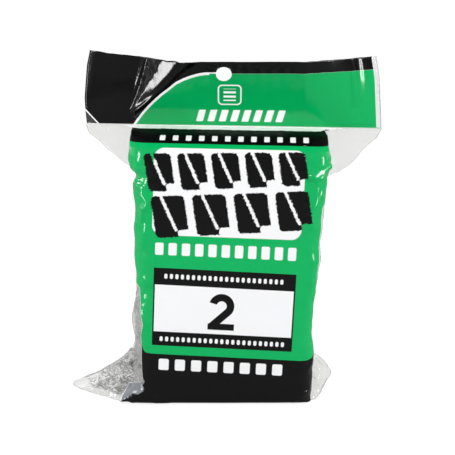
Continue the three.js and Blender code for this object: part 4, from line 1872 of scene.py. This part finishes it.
class Studio:
    """The floor, the lights, the surroundings and the camera. Sizes are in metres."""

    FRAME_PIXELS = 455.0
    FOCAL_PIXELS = 840.0
    SHIFT_PIXELS = 9.6
    SENSOR = 36.0  # in millimetres, as Blender takes it
    ELEVATION = 12.0
    DISTANCE = 0.460
    TARGET = Vector((0.0, 0.0, 0.085))

    # Lights: name, place, size and power in watts. Those of SIDE_BOXES stand on the left and the right.
    SIDE_BOXES = (
        ("box", (0.93, -0.45, 0.165), (0.15, 0.34), 4.7),
        ("high_box", (0.65, -0.42, 0.72), (0.22, 0.22), 3.0),
    )
    BACK_BOX = ("back_box", (0.0, 0.8, 0.95), (0.6, 0.4), 4.0)

    FLOOR_HALF = 4000.0  # in millimetres, as new_mesh takes it
    FLOOR_DROP = -0.3
    FLOOR_TONES = (0.70, 0.32, 0.22)  # to the room, to the camera and mirrored
    FLOOR_GLOW, FLOOR_FAR_GLOW, FLOOR_MIRRORED_GLOW = 0.78, 0.1, 0.1
    FLOOR_FAR = (0.3, 1.5)
    BACKDROP = (-0.35, 0.25)
    ROOM, ROOM_MIRRORED = 0.46, -0.12

    def camera(self) -> None:
        """Sets the camera at the photograph's angle, level with the pack's front."""
        data = bpy.data.cameras.new("camera")
        data.sensor_width = self.SENSOR
        data.lens = self.FOCAL_PIXELS / self.FRAME_PIXELS * self.SENSOR
        data.shift_y = self.SHIFT_PIXELS / self.FRAME_PIXELS
        data.clip_start = 0.01
        camera = bpy.data.objects.new("camera", data)
        tilt = math.radians(self.ELEVATION)
        camera.location = self.TARGET + self.DISTANCE * Vector((0.0, -math.cos(tilt), math.sin(tilt)))
        camera.rotation_euler = (math.pi / 2.0 - tilt, 0.0, 0.0)
        bpy.context.scene.collection.objects.link(camera)
        bpy.context.scene.camera = camera

    def softbox(self, name: str, place: tuple[float, float, float], size: Pair,
                power: float) -> None:
        """Adds a rectangular light that faces the pack's middle.

        Args:
            name: Its name.
            place: Its middle.
            size: Its width and height.
            power: In watts.
        """
        data = bpy.data.lights.new(name, "AREA")
        data.shape = "RECTANGLE"
        data.size, data.size_y = size
        data.energy = power
        light = bpy.data.objects.new(name, data)
        light.location = place
        light.rotation_euler = (self.TARGET - Vector(place)).to_track_quat("-Z", "Y").to_euler()
        bpy.context.scene.collection.objects.link(light)

    def lights(self) -> None:
        """Adds a tall box far round each side, a higher one inwards of each, and one for the back."""
        for name, side in (("left", -1.0), ("right", 1.0)):
            for kind, (x, y, z), size, power in self.SIDE_BOXES:
                self.softbox(f"{name}_{kind}", (side * x, y, z), size, power)
        self.softbox(*self.BACK_BOX)

    @staticmethod
    def _rays(bench: Bench) -> tuple[Signal, Signal, Signal]:
        """Kinds of rays that a surface meets.

        Args:
            bench: The bench of the surface's material, or of the world.

        Returns:
            Masks of the camera's rays, of these with the ones through film, and of mirrored rays.
        """
        path = bench.node("ShaderNodeLightPath").outputs
        camera, film = Signal(bench, path["Is Camera Ray"]), Signal(bench, path["Is Transmission Ray"])
        return camera, camera.most(film), Signal(bench, path["Is Glossy Ray"])

    def surroundings(self) -> None:
        """Adds the surroundings: full white where seen or mirrored behind the pack, and elsewhere softer."""
        world = bpy.data.worlds.new("surroundings")
        bpy.context.scene.world = world
        bench = Bench.cleared(world)
        _, seen, mirrored = self._rays(bench)
        way = bench.out("Generated", "ShaderNodeTexCoord")
        depth = bench.out("Y", "ShaderNodeSeparateXYZ", {"Vector": way})
        backdrop = mirrored * depth.step(*self.BACKDROP)
        strength = seen.most(backdrop).most(mirrored * self.ROOM_MIRRORED + self.ROOM)
        light = bench.out(0, "ShaderNodeBackground", {"Color": (1.0, 1.0, 1.0, 1.0), "Strength": strength})
        bench.node("ShaderNodeOutputWorld", {"Surface": light})

    def floor(self) -> None:
        """Adds a white floor that shades under the pack and glows, so that it meets the backdrop unseen."""
        near, far = -self.FLOOR_HALF, self.FLOOR_HALF
        outline = ((near, near), (far, near), (far, far), (near, far))
        corners = np.array([(x, y, self.FLOOR_DROP) for x, y in outline])
        floor = new_mesh("floor", corners, np.arange(4)[None])
        made = bpy.data.materials.new("floor_white")
        bench = Bench.cleared(made)
        camera, seen, mirrored = self._rays(bench)
        place = bench.out("Object", "ShaderNodeTexCoord")
        away = bench.out("Value", "ShaderNodeVectorMath", {0: place}, operation="LENGTH")
        lit = away.step(*self.FLOOR_FAR) * self.FLOOR_FAR_GLOW + self.FLOOR_GLOW
        glow = seen * lit + mirrored * self.FLOOR_MIRRORED_GLOW
        room, front, shine = ((tone, tone, tone, 1.0) for tone in self.FLOOR_TONES)
        tone = bench.mix(mirrored, bench.mix(camera, room, front), shine)
        matt = bench.out(0, "ShaderNodeBsdfDiffuse", {"Color": tone})
        emitted = bench.out(0, "ShaderNodeEmission", {"Strength": glow})
        both = bench.out(0, "ShaderNodeAddShader", {0: matt, 1: emitted})
        bench.node("ShaderNodeOutputMaterial", {"Surface": both})
        floor.data.materials.append(made)

    def build(self) -> None:
        """Builds the whole studio."""
        self.camera()
        self.lights()
        self.surroundings()
        self.floor()
        bpy.context.scene.view_settings.view_transform = "Standard"


def build_bag() -> None:
    """Makes the film bag, glossy on its walls and header and wrinkled on its roof, and mounts it."""
    fields, finish = rounded_field_group(), FilmFinish(Inks())
    bag = FilmBag(Header()).build()
    smooth_film = finish.material(fields, "printed_film", roughness=0.15, specular=0.36, wrinkles=0.08)
    wrinkled = finish.material(fields, "printed_film_wrinkled", roughness=0.5, specular=0.03, wrinkles=0.5)
    bag.data.materials.append(smooth_film)
    bag.data.materials.append(wrinkled)
    mount(bag, Slot.FILM, "film_bag")


def build_wool() -> None:
    """Makes the eight pads and the wool in the left ear, and mounts them."""
    finish = WoolFinish()
    # one wool in painted lit and shaded copies: the dense block painted darker as shade in the tangle, the
    # loose fibres painted lighter as light on them
    mat, fibre = finish.material("steel_wool_mat_painted_shade", 0.3), finish.material("steel_wool_fibre_painted_light", 0.75)
    for index in range(PAD_COUNT):
        pad = WoolPad(index)
        block, fibres = pad.build()
        block.data.materials.append(mat)
        fibres.data.materials.append(fibre)
        mount(block, Slot.WOOL, pad.node)
        mount(fibres, Slot.WOOL)
    ear = EarWool().build()
    # the wool shed into the ear is the darkest copy of the same wool
    ear.data.materials.append(finish.material("steel_wool_shed", 0.05))
    mount(ear, Slot.WOOL)


def main() -> None:
    """Builds the studio, then the pack."""
    logging.basicConfig(level=logging.INFO, format="%(message)s")
    Studio().build()
    build_bag()
    build_wool()


if __name__ == "__main__":
    main()
